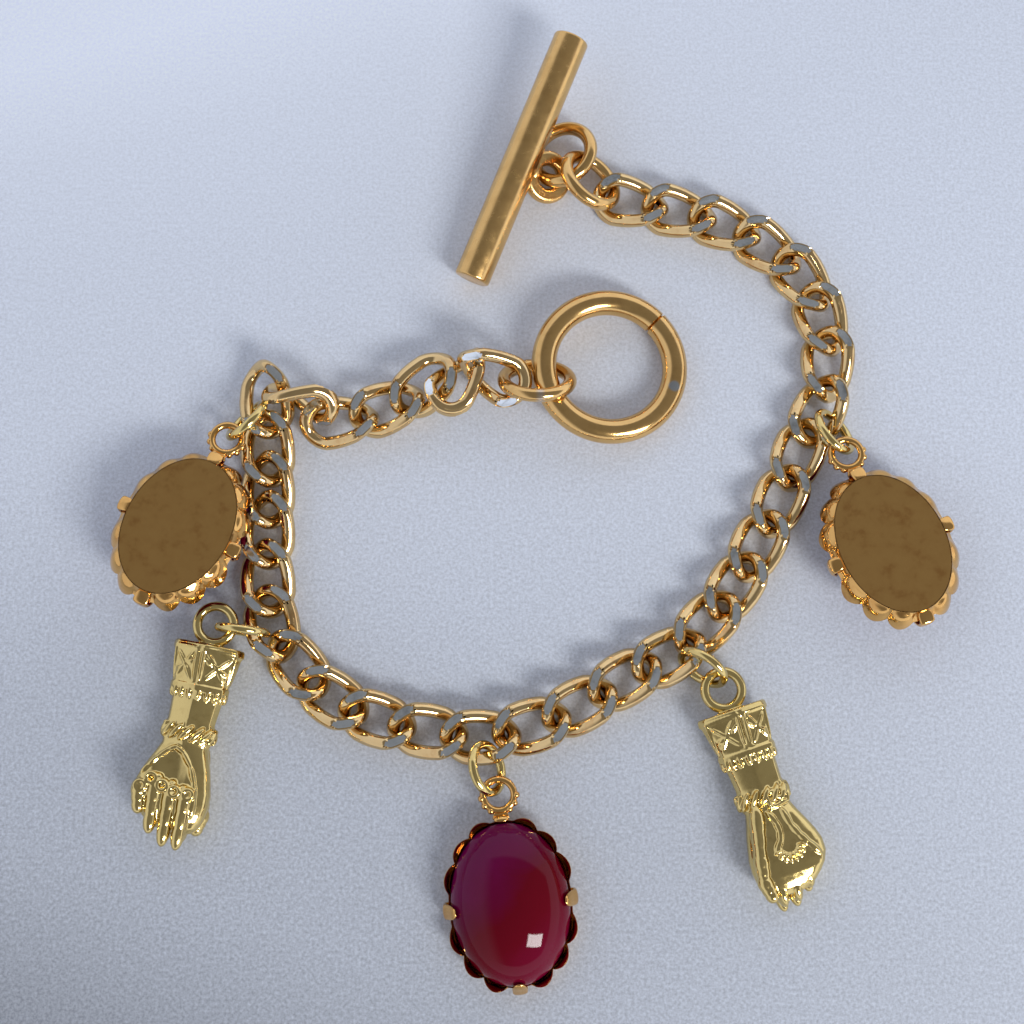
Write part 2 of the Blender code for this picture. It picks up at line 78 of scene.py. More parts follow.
# Links that don't lie flat on the route: x, y and z in pitches, then heading, tilt and roll in degrees.
LIFTED_LINKS = {
    1: (2.474, 6.512, 0.291, -12.1, -1.2, 0.7),
    8: (6.230, 2.037, 0.319, -115.3, -7.7, 12.9),
    14: (3.089, -2.942, 0.304, -151.3, -3.2, 6.3),
    18: (-0.621, -4.518, 0.282, 179.9, -3.7, 3.2),
    23: (-4.753, -2.304, 0.300, 104.7, -5.0, 9.7),
    28: (-4.977, 2.239, 0.425, 95.1, 13.9, -4.7),
    29: (-4.253, 2.186, 0.567, -15.4, 5.8, 85.9),
    30: (-3.495, 1.793, 0.356, 6.2, -0.4, -5.3),
    31: (-2.535, 2.098, 0.326, 20.7, 0.6, -1.0),
    32: (-1.784, 2.525, 0.460, 41.8, 11.2, 9.0),
    33: (-1.096, 2.611, 0.539, 58.0, -12.4, -27.0),
    34: (-0.372, 2.691, 0.688, -27.5, -1.3, 40.9),
}

# Places of the round rings and of the charms' loops, in the same terms.
RING_PLACES = {
    "ring_a": (1.053, 7.521, 0.405, 2.8, 20.9, -9.9),
    "ring_b": (1.628, 6.896, 0.532, -1.0, -35.8, -21.0),
    "end_ring": (0.504, 2.588, 0.633, -2.7, 1.9, -48.2),
    "jump_ruby": (-0.479, -5.116, 0.474, -74.3, -2.1, 123.7),
    "jump_hand_right": (3.723, -3.179, 0.525, -37.8, -5.1, 69.9),
    "jump_hand_left": (-5.281, -2.451, 0.553, 172.4, -1.6, 89.3),
    "jump_setting_right": (6.502, 1.565, 0.451, -77.2, 25.8, -46.3),
    "jump_setting_left": (-5.344, 1.788, 0.502, -134.1, 0.0, 64.6),
}
TOGGLE_RING_PLACE = (1.986, 2.932, 0.411, 179.9, 6.6, -0.1)
TOGGLE_BAR_PLACE = (0.200, 7.279, 0.733, 67.3)
RUBY_LOOP = (-0.260, -5.618, 0.396, -83.5)
RIGHT_SETTING_LOOP = (6.691, 1.077, 0.593, -69.7)
LEFT_SETTING_LOOP = (-5.711, 1.384, 0.574, -113.0)
RIGHT_HAND_LOOP = (4.130, -3.605, -71.0)
LEFT_HAND_LOOP = (-5.844, -2.323, -101.6)


def linear(colour):
    """An sRGB hex colour as linear red, green, blue and a full alpha."""
    shares = [int(colour[i:i + 2], 16) / 255 for i in (0, 2, 4)]
    return (*[s / 12.92 if s <= 0.04045 else ((s + 0.055) / 1.055) ** 2.4 for s in shares], 1.0)


def length(name, description, default):
    """A length that a user can change."""
    return FloatProperty(name=name, description=description, default=default, min=0.0, unit="LENGTH")


def colour(name, description, default):
    """A colour that a user can change, given as sRGB hex."""
    return FloatVectorProperty(
        name=name, description=description, default=linear(default), size=4, min=0.0, max=1.0,
        subtype="COLOR")


class BraceletSizes(bpy.types.PropertyGroup):
    """Sizes of the bracelet's pieces."""

    link_length: length("Link length", "Length of a curb link over its wire", 9.3 * MM)
    link_width: length("Link width", "Width of a curb link over its wire", 6.3 * MM)
    link_wire: length("Link wire", "Diameter of a link's wire", 1.6 * MM)
    link_slack: length("Link slack", "Play between one link and the next", 0.4 * MM)
    link_flat: length("Link flat", "Depth rubbed off a link's high spots", 0.41 * MM)
    toggle_ring: length("Toggle ring", "Outside diameter of the toggle ring", 18.3 * MM)
    toggle_wire: length("Toggle ring wire", "Thickness of the toggle ring", 2.9 * MM)
    bar_length: length("Bar length", "Length of the toggle bar", 30.9 * MM)
    bar_diameter: length("Bar diameter", "Diameter of the toggle bar", 4.2 * MM)
    stone_length: length("Stone length", "Length of an oval stone", 17.4 * MM)
    stone_width: length("Stone width", "Width of an oval stone", 13.0 * MM)
    stone_dome: length("Stone dome", "Height of a stone's dome over its edge", 4.8 * MM)
    hand_length: length("Hand length", "Length of a hand from its cuff to its fingertips", 23.4 * MM)
    hand_width: length("Hand width", "Width that a hand's sections are shares of", 9.4 * MM)
    hand_thickness: length("Hand thickness", "Thickness of a hand", 4.6 * MM)


class BraceletColours(bpy.types.PropertyGroup):
    """Colours of the bracelet's finishes."""

    chain_gold: colour("Chain gold", "Gilding of the links", "e0c18b")
    rubbed_flat: colour("Rubbed flat", "Pale metal where the gilding is rubbed off", "e9eff4")
    pale_gold: colour("Pale gold", "Gilding of the jump rings and the hands", "dec582")
    bar_gold: colour("Bar gold", "Gilding of the toggle bar and the thick rings", "dfb676")
    setting_gold: colour("Setting gold", "Gilding of the scalloped settings", "e0b06a")
    ruby: colour("Ruby", "Deep colour of the glass stones", "5e0214")
    floor: colour("Surface", "Pale surface that the bracelet lies on", "cfd6e3")


def pose(x, y, z, heading, tilt=0.0, roll=0.0):
    """A placement: turned to its heading, nose up by tilt, then rolled about its own x axis. Degrees."""
    turn = Matrix.Rotation(radians(heading), 4, "Z")
    lift = Matrix.Rotation(-radians(tilt), 4, "Y")
    lean = Matrix.Rotation(radians(roll), 4, "X")
    return Matrix.Translation((x, y, z)) @ turn @ lift @ lean


def pitch_of(sizes):
    """Distance from one link of the taut chain to the next, less its slack."""
    return sizes.link_length - 2 * sizes.link_wire - sizes.link_slack


def middle_of(node):
    """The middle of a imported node's box."""
    low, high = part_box(node)
    return (low + high) / 2


def route_origin(sizes):
    """The route's origin on the surface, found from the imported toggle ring's place."""
    origin = middle_of("toggle_ring") - Vector(TOGGLE_RING_PLACE[:3]) * pitch_of(sizes)
    origin.z = 0.0
    return origin


def pitched(sizes, x, y, z, heading, tilt=0.0, roll=0.0):
    """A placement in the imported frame, whose position is in pitches of the chain."""
    pitch = pitch_of(sizes)
    lying = pose(x * pitch, y * pitch, z * pitch, heading, tilt, roll)
    return Matrix.Translation(route_origin(sizes)) @ lying


def select_only(obj):
    """Deselects everything else and makes one object active."""
    for other in list(bpy.context.selected_objects):
        other.select_set(False)
    obj.select_set(True)
    bpy.context.view_layer.objects.active = obj


def named(name):
    """The primitive that was just added, selected alone, under its name."""
    obj = bpy.context.object
    obj.name = name
    obj.data.name = name
    select_only(obj)
    return obj


def edit(obj):
    """Goes into edit mode on one object, with everything in it selected."""
    select_only(obj)
    bpy.ops.object.mode_set(mode="EDIT")
    bpy.context.tool_settings.mesh_select_mode = (True, False, False)
    bpy.ops.mesh.select_all(action="SELECT")


def edit_faces(obj):
    """Goes into edit mode on one object, keeping the faces that are selected on it."""
    select_only(obj)
    bpy.context.tool_settings.mesh_select_mode = (False, False, True)
    bpy.ops.object.mode_set(mode="EDIT")


def leave_edit():
    """Goes back to object mode."""
    bpy.ops.object.mode_set(mode="OBJECT")


def pick_points(obj, test):
    """Selects, in edit mode, the vertices whose place passes a test."""
    bpy.context.tool_settings.mesh_select_mode = (True, False, False)
    mesh = bmesh.from_edit_mesh(obj.data)
    for vertex in mesh.verts:
        vertex.select_set(False)
    for vertex in mesh.verts:
        if test(vertex.co):
            vertex.select_set(True)
    mesh.select_flush_mode()
    bmesh.update_edit_mesh(obj.data)


def pick_faces(obj, test):
    """Selects, in edit mode, the faces whose middle and normal pass a test."""
    bpy.context.tool_settings.mesh_select_mode = (False, False, True)
    mesh = bmesh.from_edit_mesh(obj.data)
    for face in mesh.faces:
        face.select_set(bool(test(face.calc_center_median(), face.normal)))
    mesh.select_flush_mode()
    bmesh.update_edit_mesh(obj.data)


def cut(point, normal, **settings):
    """Cuts the whole piece in edit mode through a plane."""
    bpy.ops.mesh.select_all(action="SELECT")
    bpy.ops.mesh.bisect(plane_co=point, plane_no=normal, **settings)


def draw_out(shift, stretch, middle):
    """Extrudes the selected end by a shift, then scales it about a point."""
    bpy.ops.mesh.extrude_region_move(TRANSFORM_OT_translate={"value": shift})
    bpy.ops.transform.resize(value=stretch, center_override=middle)


def close_edit():
    """Turns every face outwards and goes back to object mode."""
    bpy.ops.mesh.select_all(action="SELECT")
    bpy.ops.mesh.normals_make_consistent(inside=False)
    leave_edit()


def apply_modifier(obj, kind, **settings):
    """Adds a modifier with its settings and applies it."""
    select_only(obj)
    modifier = obj.modifiers.new(kind.lower(), kind)
    for key, value in settings.items():
        setattr(modifier, key, value)
    bpy.ops.object.modifier_apply(modifier=modifier.name)


def join(whole, parts):
    """Joins parts into one piece."""
    select_only(whole)
    for part in parts:
        part.select_set(True)
    bpy.ops.object.join()
    return whole


def smooth(obj, angle=40.0):
    """Shades a piece smooth but for its sharp edges."""
    select_only(obj)
    bpy.ops.object.shade_smooth_by_angle(angle=radians(angle))


def place_mesh(obj, place):
    """Sets a piece's mesh at its place, leaving its object at the origin."""
    select_only(obj)
    bpy.ops.object.transform_apply(location=True, rotation=True, scale=True)
    obj.data.transform(place)
    obj.data.update()


def copy_of(original, name, place):
    """A copy of a piece with its own mesh, set at its place."""
    mesh = original.data.copy()
    mesh.name = name
    mesh.transform(place)
    obj = bpy.data.objects.new(name, mesh)
    bpy.context.scene.collection.objects.link(obj)
    return obj


def discard(obj):
    """Removes an original once its copies are made."""
    mesh = obj.data
    bpy.data.objects.remove(obj, do_unlink=True)
    bpy.data.meshes.remove(mesh)


def stand_in(obj, node):
    """Hides the imported part that a piece stands in for, and hangs the piece on the root."""
    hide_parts(node)
    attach(obj, "root")


def feed(node, inputs):
    """Sets a shader node's inputs, each to a value or to another node's output."""
    for key, value in inputs.items():
        if isinstance(value, bpy.types.NodeSocket):
            node.id_data.links.new(value, node.inputs[key])
        else:
            node.inputs[key].default_value = value


def add_node(tree, kind, inputs, **settings):
    """Adds a shader node with its settings and its inputs."""
    made = tree.nodes.new(kind)
    for key, value in settings.items():
        setattr(made, key, value)
    feed(made, inputs)
    return made


def new_material(name):
    """A new material, its node tree, and the output that gives each point's place."""
    material = bpy.data.materials.new(name)
    material.use_nodes = True
    tree = material.node_tree
    return material, tree, add_node(tree, "ShaderNodeTexCoord", {}).outputs["Object"]


def noise(tree, where, scale, detail, roughness=0.5, distortion=0.0):
    """Soft noise from 0 to 1, with as many lumps to the metre as its scale says."""
    return add_node(tree, "ShaderNodeTexNoise", {
        "Vector": where, "Scale": scale, "Detail": detail, "Roughness": roughness,
        "Distortion": distortion}).outputs["Fac"]


def remap(tree, value, source, target, kind="LINEAR"):
    """A value carried from one range to another, and held within it."""
    return add_node(tree, "ShaderNodeMapRange", {
        "Value": value, "From Min": source[0], "From Max": source[1], "To Min": target[0],
        "To Max": target[1]}, interpolation_type=kind).outputs["Result"]


def ramp(tree, value, stops):
    """A colour that passes through the stops, each a position and a colour, as a value rises."""
    made = add_node(tree, "ShaderNodeValToRGB", {"Fac": value})
    elements = made.color_ramp.elements
    while len(elements) > 1:
        elements.remove(elements[-1])
    elements[0].position, elements[0].color = stops[0]
    for position, shade in stops[1:]:
        elements.new(position).color = shade
    return made.outputs["Color"]


def maths(tree, operation, *terms):
    """What an operation makes of its terms, each a number or another node's output."""
    return add_node(tree, "ShaderNodeMath", dict(enumerate(terms)), operation=operation).outputs["Value"]


def scaled(tree, shade, share):
    """A colour times a share."""
    return add_node(tree, "ShaderNodeVectorMath", {0: shade, 3: share}, operation="SCALE").outputs["Vector"]


def split(tree, vector):
    """The x, y and z of a vector."""
    return add_node(tree, "ShaderNodeSeparateXYZ", {"Vector": vector}).outputs


def own_axes(tree, where, place, stretch=(1, 1, 1)):
    """Each point's place along a piece's own axes, stretched along them."""
    return add_node(tree, "ShaderNodeMapping", {
        "Vector": where, "Location": place.translation, "Rotation": place.to_euler(),
        "Scale": stretch}, vector_type="TEXTURE").outputs["Vector"]


def bump(tree, height, depth):
    """The surface's direction with a relief of a real depth."""
    return add_node(tree, "ShaderNodeBump", {"Height": height, "Distance": depth}).outputs["Normal"]


def darker(shade, share):
    """A colour with its red, green and blue taken to a share."""
    return (shade[0] * share, shade[1] * share, shade[2] * share, 1.0)


def blend(first, second, share):
    """A colour between two."""
    return (*[a + (b - a) * share for a, b in zip(first[:3], second[:3])], 1.0)


def gilt(name, shade, tarnish, rough, patch, relief, grain=0.22 * MM, place=None, stretch=(1, 1, 1), spots=(),
         spot_shade=None):
    """Gilt metal: tarnish in patches, roughness that wanders between two values, and a fine relief.

    Sizes are real ones. With a place, the relief follows the piece's own axes, stretched along them.
    """
    material, tree, where = new_material(name)
    patches = noise(tree, where, 1 / patch, detail=4.0, roughness=0.6)
    tone = ramp(tree, patches, [(0.3, tarnish), (0.46, blend(tarnish, shade, 0.8)), (0.6, shade)])
    for spot, reach in spots:
        apart = add_node(tree, "ShaderNodeVectorMath", {0: where, 1: spot}, operation="DISTANCE").outputs[1]
        mask = remap(tree, apart, (0.55 * reach, reach), (1.0, 0.0), "SMOOTHSTEP")
        tone = add_node(tree, "ShaderNodeMix", {0: mask, 6: tone, 7: spot_shade}, data_type="RGBA").outputs[2]
    smudges = noise(tree, where, 2.2 / patch, detail=5.0, roughness=0.65)
    along = where if place is None else own_axes(tree, where, place, stretch)
    fine = noise(tree, along, 1 / grain, detail=3.0, roughness=0.55)
    feed(tree.nodes["Principled BSDF"], {
        "Metallic": 1.0, "Base Color": tone, "Roughness": remap(tree, smudges, (0.35, 0.7), rough),
        "Normal": bump(tree, fine, relief)})
    return material


def link_gilding(colours):
    """Gilt brass, drawn to wire and tumbled: bright streaks with an orange depth between the links."""
    shade = colours.chain_gold
    tarnish = blend(shade, linear("b87a3a"), 0.42)
    return gilt("gilt_drawn_wire", shade, tarnish, (0.05, 0.14), 2.4 * MM, 0.0025 * MM)


def rubbed_silver(colours):
    """White metal where a link's gilding is rubbed through: cool flats that mirror what is overhead."""
    shade = colours.rubbed_flat
    tarnish = darker(shade, 0.58)
    return gilt("rubbed_white_metal", shade, tarnish, (0.12, 0.22), 2.6 * MM, 0.002 * MM, 0.2 * MM)


def ring_gilding(colours):
    """Gilt brass with a thin, lemon-coloured gilding, polished: the paler gold of the round rings."""
    shade = colours.pale_gold
    tarnish = blend(shade, linear("a8884a"), 0.3)
    return gilt("pale_gilt_wire", shade, tarnish, (0.06, 0.15), 1.4 * MM, 0.0025 * MM)


def toggle_gilding(colours, spots):
    """Gilt brass with handling wear: soft highlights, and grey where the gilding is gone."""
    shade = colours.bar_gold
    tarnish = blend(shade, linear("b08448"), 0.35)
    return gilt(
        "worn_gilt_ring", shade, tarnish, (0.11, 0.2), 2.6 * MM, 0.003 * MM,
        spots=spots, spot_shade=darker(colours.rubbed_flat, 0.62))


def bar_gilding(colours, place):
    """Gilt brass rod, brushed along its length: fine lengthwise lines that draw the highlights out."""
    shade = colours.bar_gold
    tarnish = blend(shade, linear("b08448"), 0.3)
    return gilt(
        "brushed_gilt_rod", shade, tarnish, (0.17, 0.3), 2.8 * MM, 0.005 * MM, 0.16 * MM, place, (16, 1, 1))


def cup_gilding(colours):
    """Pressed brass, thinly gilt: warm scallops that flash at their lips."""
    shade = colours.setting_gold
    tarnish = blend(shade, linear("a8642a"), 0.4)
    return gilt("pressed_gilt_cup", shade, tarnish, (0.08, 0.18), 1.8 * MM, 0.003 * MM)


def back_gilding(colours):
    """Pressed brass sheet with a satin back: even brown gold with a faint grain."""
    shade = darker(colours.setting_gold, 0.88)
    tarnish = blend(colours.setting_gold, linear("9a6c34"), 0.4)
    return gilt("satin_gilt_back", shade, tarnish, (0.24, 0.32), 3.5 * MM, 0.003 * MM, 0.25 * MM)


def hand_gilding(colours):
    """Cast brass with a pale gilding: soft casting skin with tarnish in patches."""
    shade = colours.pale_gold
    tarnish = blend(shade, linear("a08448"), 0.3)
    return gilt("cast_pale_gilt", shade, tarnish, (0.08, 0.18), 1.3 * MM, 0.005 * MM, 0.35 * MM)


def ruby_glass(colours, name, place):
    """Pressed ruby glass on a dark foil: deep red with purple towards its loop, and painted light that makes
    its far end a lighter red, under a wet gloss.
    """
    material, tree, where = new_material(name)
    own = own_axes(tree, where, place)
    axes = split(tree, own)
    swirl = 5 * MM
    swirls = noise(tree, own, 1 / swirl, detail=3.0, distortion=0.9)
    slant = maths(tree, "MULTIPLY_ADD", axes["Y"], 0.9, axes["X"])
    wander = maths(tree, "MULTIPLY_ADD", swirls, swirl, slant)
    down = remap(tree, wander, (4 * MM, 25 * MM), (0.0, 1.0))
    deep = colours.ruby
    # The glass's tint runs from purple at the loop end to deep red; the lighter red at the far end, towards
    # the window on the face-up stone, is painted light glowing through the glass.
    tint_and_painted_glow = ramp(tree, down, [
        (0.15, linear("660840")), (0.36, blend(deep, linear("5c0434"), 0.6)), (0.48, deep),
        (0.66, darker(deep, 1.1)), (0.9, linear("6c0628"))])
    feed(tree.nodes["Principled BSDF"], {
        "Base Color": tint_and_painted_glow, "Roughness": 0.035, "IOR": 1.52, "Specular IOR Level": 0.15})
    return material


def route_at(place):
    """A point on the smooth curve through the route, which passes each listed point at a whole number."""
    points = [Vector(point) for point in ROUTE]
    points.append(2 * Vector(ROUTE_END) - points[-1])
    points.append(2 * points[-1] - points[-2])
    points.insert(0, 2 * points[0] - points[1])
    row = int(place)
    t = place - row
    p0, p1, p2, p3 = points[row:row + 4]
    slope = p2 - p0
    square = 2 * p0 - 5 * p1 + 4 * p2 - p3
    cube = 3 * p1 - p0 - 3 * p2 + p3
    return (2 * p1 + slope * t + square * t ** 2 + cube * t ** 3) / 2


def link_flat_height(sizes):
    """Half the thickness of a rubbed link, found along its twisted wire."""
    half_x = (sizes.link_length - sizes.link_wire) / 2
    half_y = (sizes.link_width - sizes.link_wire) / 2
    top = 0.0
    for i in range(7):
        angle = pi / 2 + pi * i / 6
        x = half_y * cos(angle) - (half_x - half_y)
        top = max(top, half_y * sin(angle) * sin(-LINK_TWIST * x / half_x))
    return top + sizes.link_wire / 2 - sizes.link_flat


def link_place(sizes, number):
    """Where a link lies."""
    if number in LIFTED_LINKS:
        return pitched(sizes, *LIFTED_LINKS[number])
    here = route_at((number - 1) / 2)
    way = route_at(number / 2) - route_at(max(0, number - 2) / 2)
    height = link_flat_height(sizes) / pitch_of(sizes)
    return pitched(sizes, here.x, here.y, height, degrees(atan2(way.y, way.x)))


# A link's rubbed flats: how much less is rubbed off above than below, the gilt rim round a flat, and the
# slivers that are welded away.
UPPER_SPARED = 0.09 * MM
FLAT_RIM = 0.13 * MM
SLIVER = 0.045 * MM


def model_link(sizes):
    """A curb link: a round wire oval, twisted about its length, its high spots rubbed flat."""
    half_x = (sizes.link_length - sizes.link_wire) / 2
    half_y = (sizes.link_width - sizes.link_wire) / 2
    straight = half_x - half_y
    link = model_ring("curb_link", sizes.link_width, sizes.link_wire, None, 64, 24)
    edit(link)
    for side in (1, -1):
        pick_points(link, lambda co: side * co.x > NEAR)
        bpy.ops.transform.translate(value=(side * straight, 0, 0))
    for share in (-1.0, -0.67, -0.33, 0.33, 0.67, 1.0):
        cut((share * straight, 0, 0), (1, 0, 0))
    leave_edit()
    whole_twist = LINK_TWIST * sizes.link_length / half_x
    apply_modifier(link, "SIMPLE_DEFORM", deform_method="TWIST", deform_axis="X", angle=-whole_twist)
    flat = link_flat_height(sizes)
    edit(link)
    for side, height in ((1, flat + UPPER_SPARED), (-1, flat)):
        cut((0, 0, side * height), (0, 0, side), use_fill=True, clear_outer=True)
    bpy.ops.mesh.select_all(action="SELECT")
    bpy.ops.mesh.remove_doubles(threshold=SLIVER)
    leave_edit()
    for face in link.data.polygons:
        face.select = abs(face.normal.z) > 0.999 and abs(face.center.z) > flat - NEAR
    edit_faces(link)
    bpy.ops.mesh.inset(thickness=FLAT_RIM)
    leave_edit()
    for face in link.data.polygons:
        if face.select:
            face.material_index = 1
    smooth(link, 24)
    return link


# The hairline where a ring's wire ends meet: half its width in shares of the wire, and how far it goes in.
SEAM_HALF = 0.05
SEAM_SQUEEZE = 0.78


def model_ring(name, outer, wire, seam=None, around=96, across=24):
    """A round ring, with its hairline at the seam's angle in degrees."""
    middle = (outer - wire) / 2
    bpy.ops.mesh.primitive_torus_add(
        major_segments=around, minor_segments=across, major_radius=middle, minor_radius=wire / 2)
    ring = named(name)
    if seam is None:
        return ring
    turn = Matrix.Rotation(radians(seam), 3, "Z")
    out, side = turn @ Vector((1, 0, 0)), turn @ Vector((0, 1, 0))
    edit(ring)
    for shift in (-SEAM_HALF, 0.0, SEAM_HALF):
        pick_faces(ring, lambda spot, normal: spot.dot(out) > 0)
        bpy.ops.mesh.bisect(plane_co=side * shift * wire, plane_no=side)
    pick_points(ring, lambda co: co.dot(out) > 0 and abs(co.dot(side)) < NEAR)
    bpy.ops.transform.resize(value=(SEAM_SQUEEZE, SEAM_SQUEEZE, SEAM_SQUEEZE), center_override=out * middle)
    leave_edit()
    return ring


def bar_tilt(sizes, height):
    """How far the toggle bar tilts with its middle at a height and its lower end on the surface."""
    radius, half = sizes.bar_diameter / 2, sizes.bar_length / 2
    return degrees(asin(height / hypot(half, radius)) - atan2(radius, half))


# The toggle bar's eyelet: outside diameter and wire, how far its middle stands off the bar, its shift along
# and turn about the bar, and the height of its flat sides.
EYELET = (6.2 * MM, 1.8 * MM)
EYELET_STAND = 1.85 * MM
EYELET_SHIFT = -0.38 * MM
EYELET_TURN = 32
EYELET_FLAT = 0.68 * MM
EYELET_FLAT_FROM = 0.62 * MM
SOLDER_HALF_SIZES = (1.7 * MM, 0.75 * MM, 0.8 * MM)
SOLDER_STAND = 0.1 * MM
BAR_END_ROUNDING = 0.28 * MM


def model_bar(sizes):
    """The toggle bar along X with softened ends, and a thick flat eyelet soldered to its side."""
    radius = sizes.bar_diameter / 2
    bpy.ops.mesh.primitive_cylinder_add(
        vertices=96, radius=radius, depth=sizes.bar_length, rotation=(0, pi / 2, 0))
    bar = named("toggle_bar_piece")
    bpy.ops.object.transform_apply(location=False, rotation=True, scale=False)
    edit(bar)
    for side in (1, -1):
        cut((side * 0.35 * sizes.bar_length, 0, 0), (1, 0, 0))
    leave_edit()
    apply_modifier(
        bar, "BEVEL", width=BAR_END_ROUNDING, segments=4, limit_method="ANGLE", angle_limit=radians(60))
    smooth(bar, 35)
    eyelet = model_ring("eyelet", *EYELET, None, 72, 20)
    edit(eyelet)
    for side in (1, -1):
        pick_points(eyelet, lambda co: side * co.z > EYELET_FLAT_FROM)
        bpy.ops.transform.resize(value=(1, 1, 0.0), center_override=(0, 0, side * EYELET_FLAT))
    leave_edit()
    smooth(eyelet, 60)
    seat = pose(EYELET_SHIFT, 0, 0, 0, 0, EYELET_TURN)
    place_mesh(eyelet, seat @ Matrix.Translation((0, -radius - EYELET_STAND, 0)))
    bpy.ops.mesh.primitive_uv_sphere_add(segments=32, ring_count=16, radius=1.0)
    solder = named("solder")
    lump = Matrix.Diagonal((*SOLDER_HALF_SIZES, 1))
    place_mesh(solder, seat @ Matrix.Translation((0, -radius - SOLDER_STAND, 0)) @ lump)
    smooth(solder, 60)
    return join(bar, [eyelet, solder])


# A setting, measured from its back's level and its stone's outline, but for the loop's reach from the stone's
# middle. The scallops are those in a quarter turn.
PLATE_INSET = 0.8 * MM
CUP_PLAY = 0.25 * MM
CUP_SHOULDER = 0.95 * MM
CUP_WALL = 0.4 * MM
SCALLOPS = 3
LOOP_REACH = 11.75 * MM
LOOP_RISE = 1.4 * MM
STONE_EDGE = 1.55 * MM


def scallop_wave(share):
    """1 at a scallop's middle, and 0 between scallops and at prongs, for a share of a quarter turn."""
    prong = 1 / (2 * (SCALLOPS + 1))
    if share < prong or share > 1 - prong:
        return 0.0
    return abs(sin(pi * (share - prong) / (1 - 2 * prong) * SCALLOPS))


# Outline of the cup's wall in millimetres, at a scallop's middle and between scallops: how far out from the
# stone's oval and how high over the back, from the back's edge over the lip and down to the floor.
SCALLOP_PROFILE = [
    (-0.50, 0.00), (-0.45, 0.05), (-0.18, 0.17), (0.14, 0.42), (0.44, 0.88), (0.70, 1.45), (0.86, 2.00),
    (0.92, 2.28), (0.87, 2.35), (0.76, 2.26), (0.56, 1.75), (0.30, 1.25), (0.12, 1.00), (-1.00, 0.50),
]
NOTCH_PROFILE = [
    (-0.50, 0.00), (-0.48, 0.05), (-0.42, 0.24), (-0.32, 0.48), (-0.14, 0.76), (0.04, 0.98), (0.18, 1.16),
    (0.26, 1.24), (0.24, 1.30), (0.14, 1.26), (0.08, 1.14), (0.04, 1.05), (0.02, 0.98), (-1.00, 0.50),
]
CUP_STEPS = 240
SCALLOP_FULLNESS = 0.8
BACK_RIMS = (0.12 * MM, 0.3 * MM)


def model_cup(sizes):
    """The scalloped cup and its back, with the oval's middle at the origin and the back at z = 0."""
    half_x, half_y = sizes.stone_length / 2, sizes.stone_width / 2
    bpy.ops.mesh.primitive_circle_add(vertices=CUP_STEPS, radius=1.0, fill_type="NGON")
    cup = named("cup")
    edit(cup)
    out, z = SCALLOP_PROFILE[0]
    bpy.ops.transform.resize(value=(half_x + out * MM, half_y + out * MM, 1))
    for next_out, next_z in SCALLOP_PROFILE[1:]:
        stretch = [(half + next_out * MM) / (half + out * MM) for half in (half_x, half_y)]
        draw_out((0, 0, (next_z - z) * MM), (*stretch, 1), (0, 0, next_z * MM))
        out, z = next_out, next_z
    close_edit()
    for face in cup.data.polygons:
        face.select = face.center.z < NEAR
    edit_faces(cup)
    for width in BACK_RIMS:
        bpy.ops.mesh.inset(thickness=width)
    leave_edit()
    for i, vertex in enumerate(cup.data.vertices[:CUP_STEPS * len(SCALLOP_PROFILE)]):
        row = i // CUP_STEPS
        turn = atan2(vertex.co.y / half_y, vertex.co.x / half_x) % (2 * pi)
        swell = scallop_wave((turn % (pi / 2)) / (pi / 2)) ** SCALLOP_FULLNESS
        out, z = (n + (s - n) * swell for n, s in zip(NOTCH_PROFILE[row], SCALLOP_PROFILE[row]))
        way = Vector((cos(turn) / half_x, sin(turn) / half_y, 0)).normalized()
        vertex.co = Vector((half_x * cos(turn), half_y * sin(turn), z * MM)) + way * out * MM
    cup.data.update()
    for face in cup.data.polygons:
        if face.center.z < 2 * NEAR:
            face.material_index = 1
    smooth(cup, 34)
    return cup


def dome_height(sizes, out, half):
    """Height of the stone's dome over its edge, some way out from its middle."""
    return sizes.stone_dome * sqrt(max(0.0, 1 - (out / half) ** 2))


# A prong: the strap, its root in the back, its stand off the dome outwards and upwards, and its tip, which
# passes over the stone at each inset, narrowed to a share.
PRONG_WIDTH = 1.8 * MM
PRONG_THICKNESS = 0.6 * MM
PRONG_STAND = 0.42 * MM
ROOT_REACH = 0.75 * MM
ROOT_THICKNESS = 0.5 * MM
ROOT_LEVEL = 0.32 * MM
ROOT_RISE = 0.42 * MM
DOME_STAND = (0.25 * MM, 0.38 * MM)
PRONG_TIP = ((0.1 * MM, 1.0), (0.5 * MM, 0.86), (0.85 * MM, 0.5))
SHORT_PRONG_TIP = ((0.05 * MM, 1.0),)


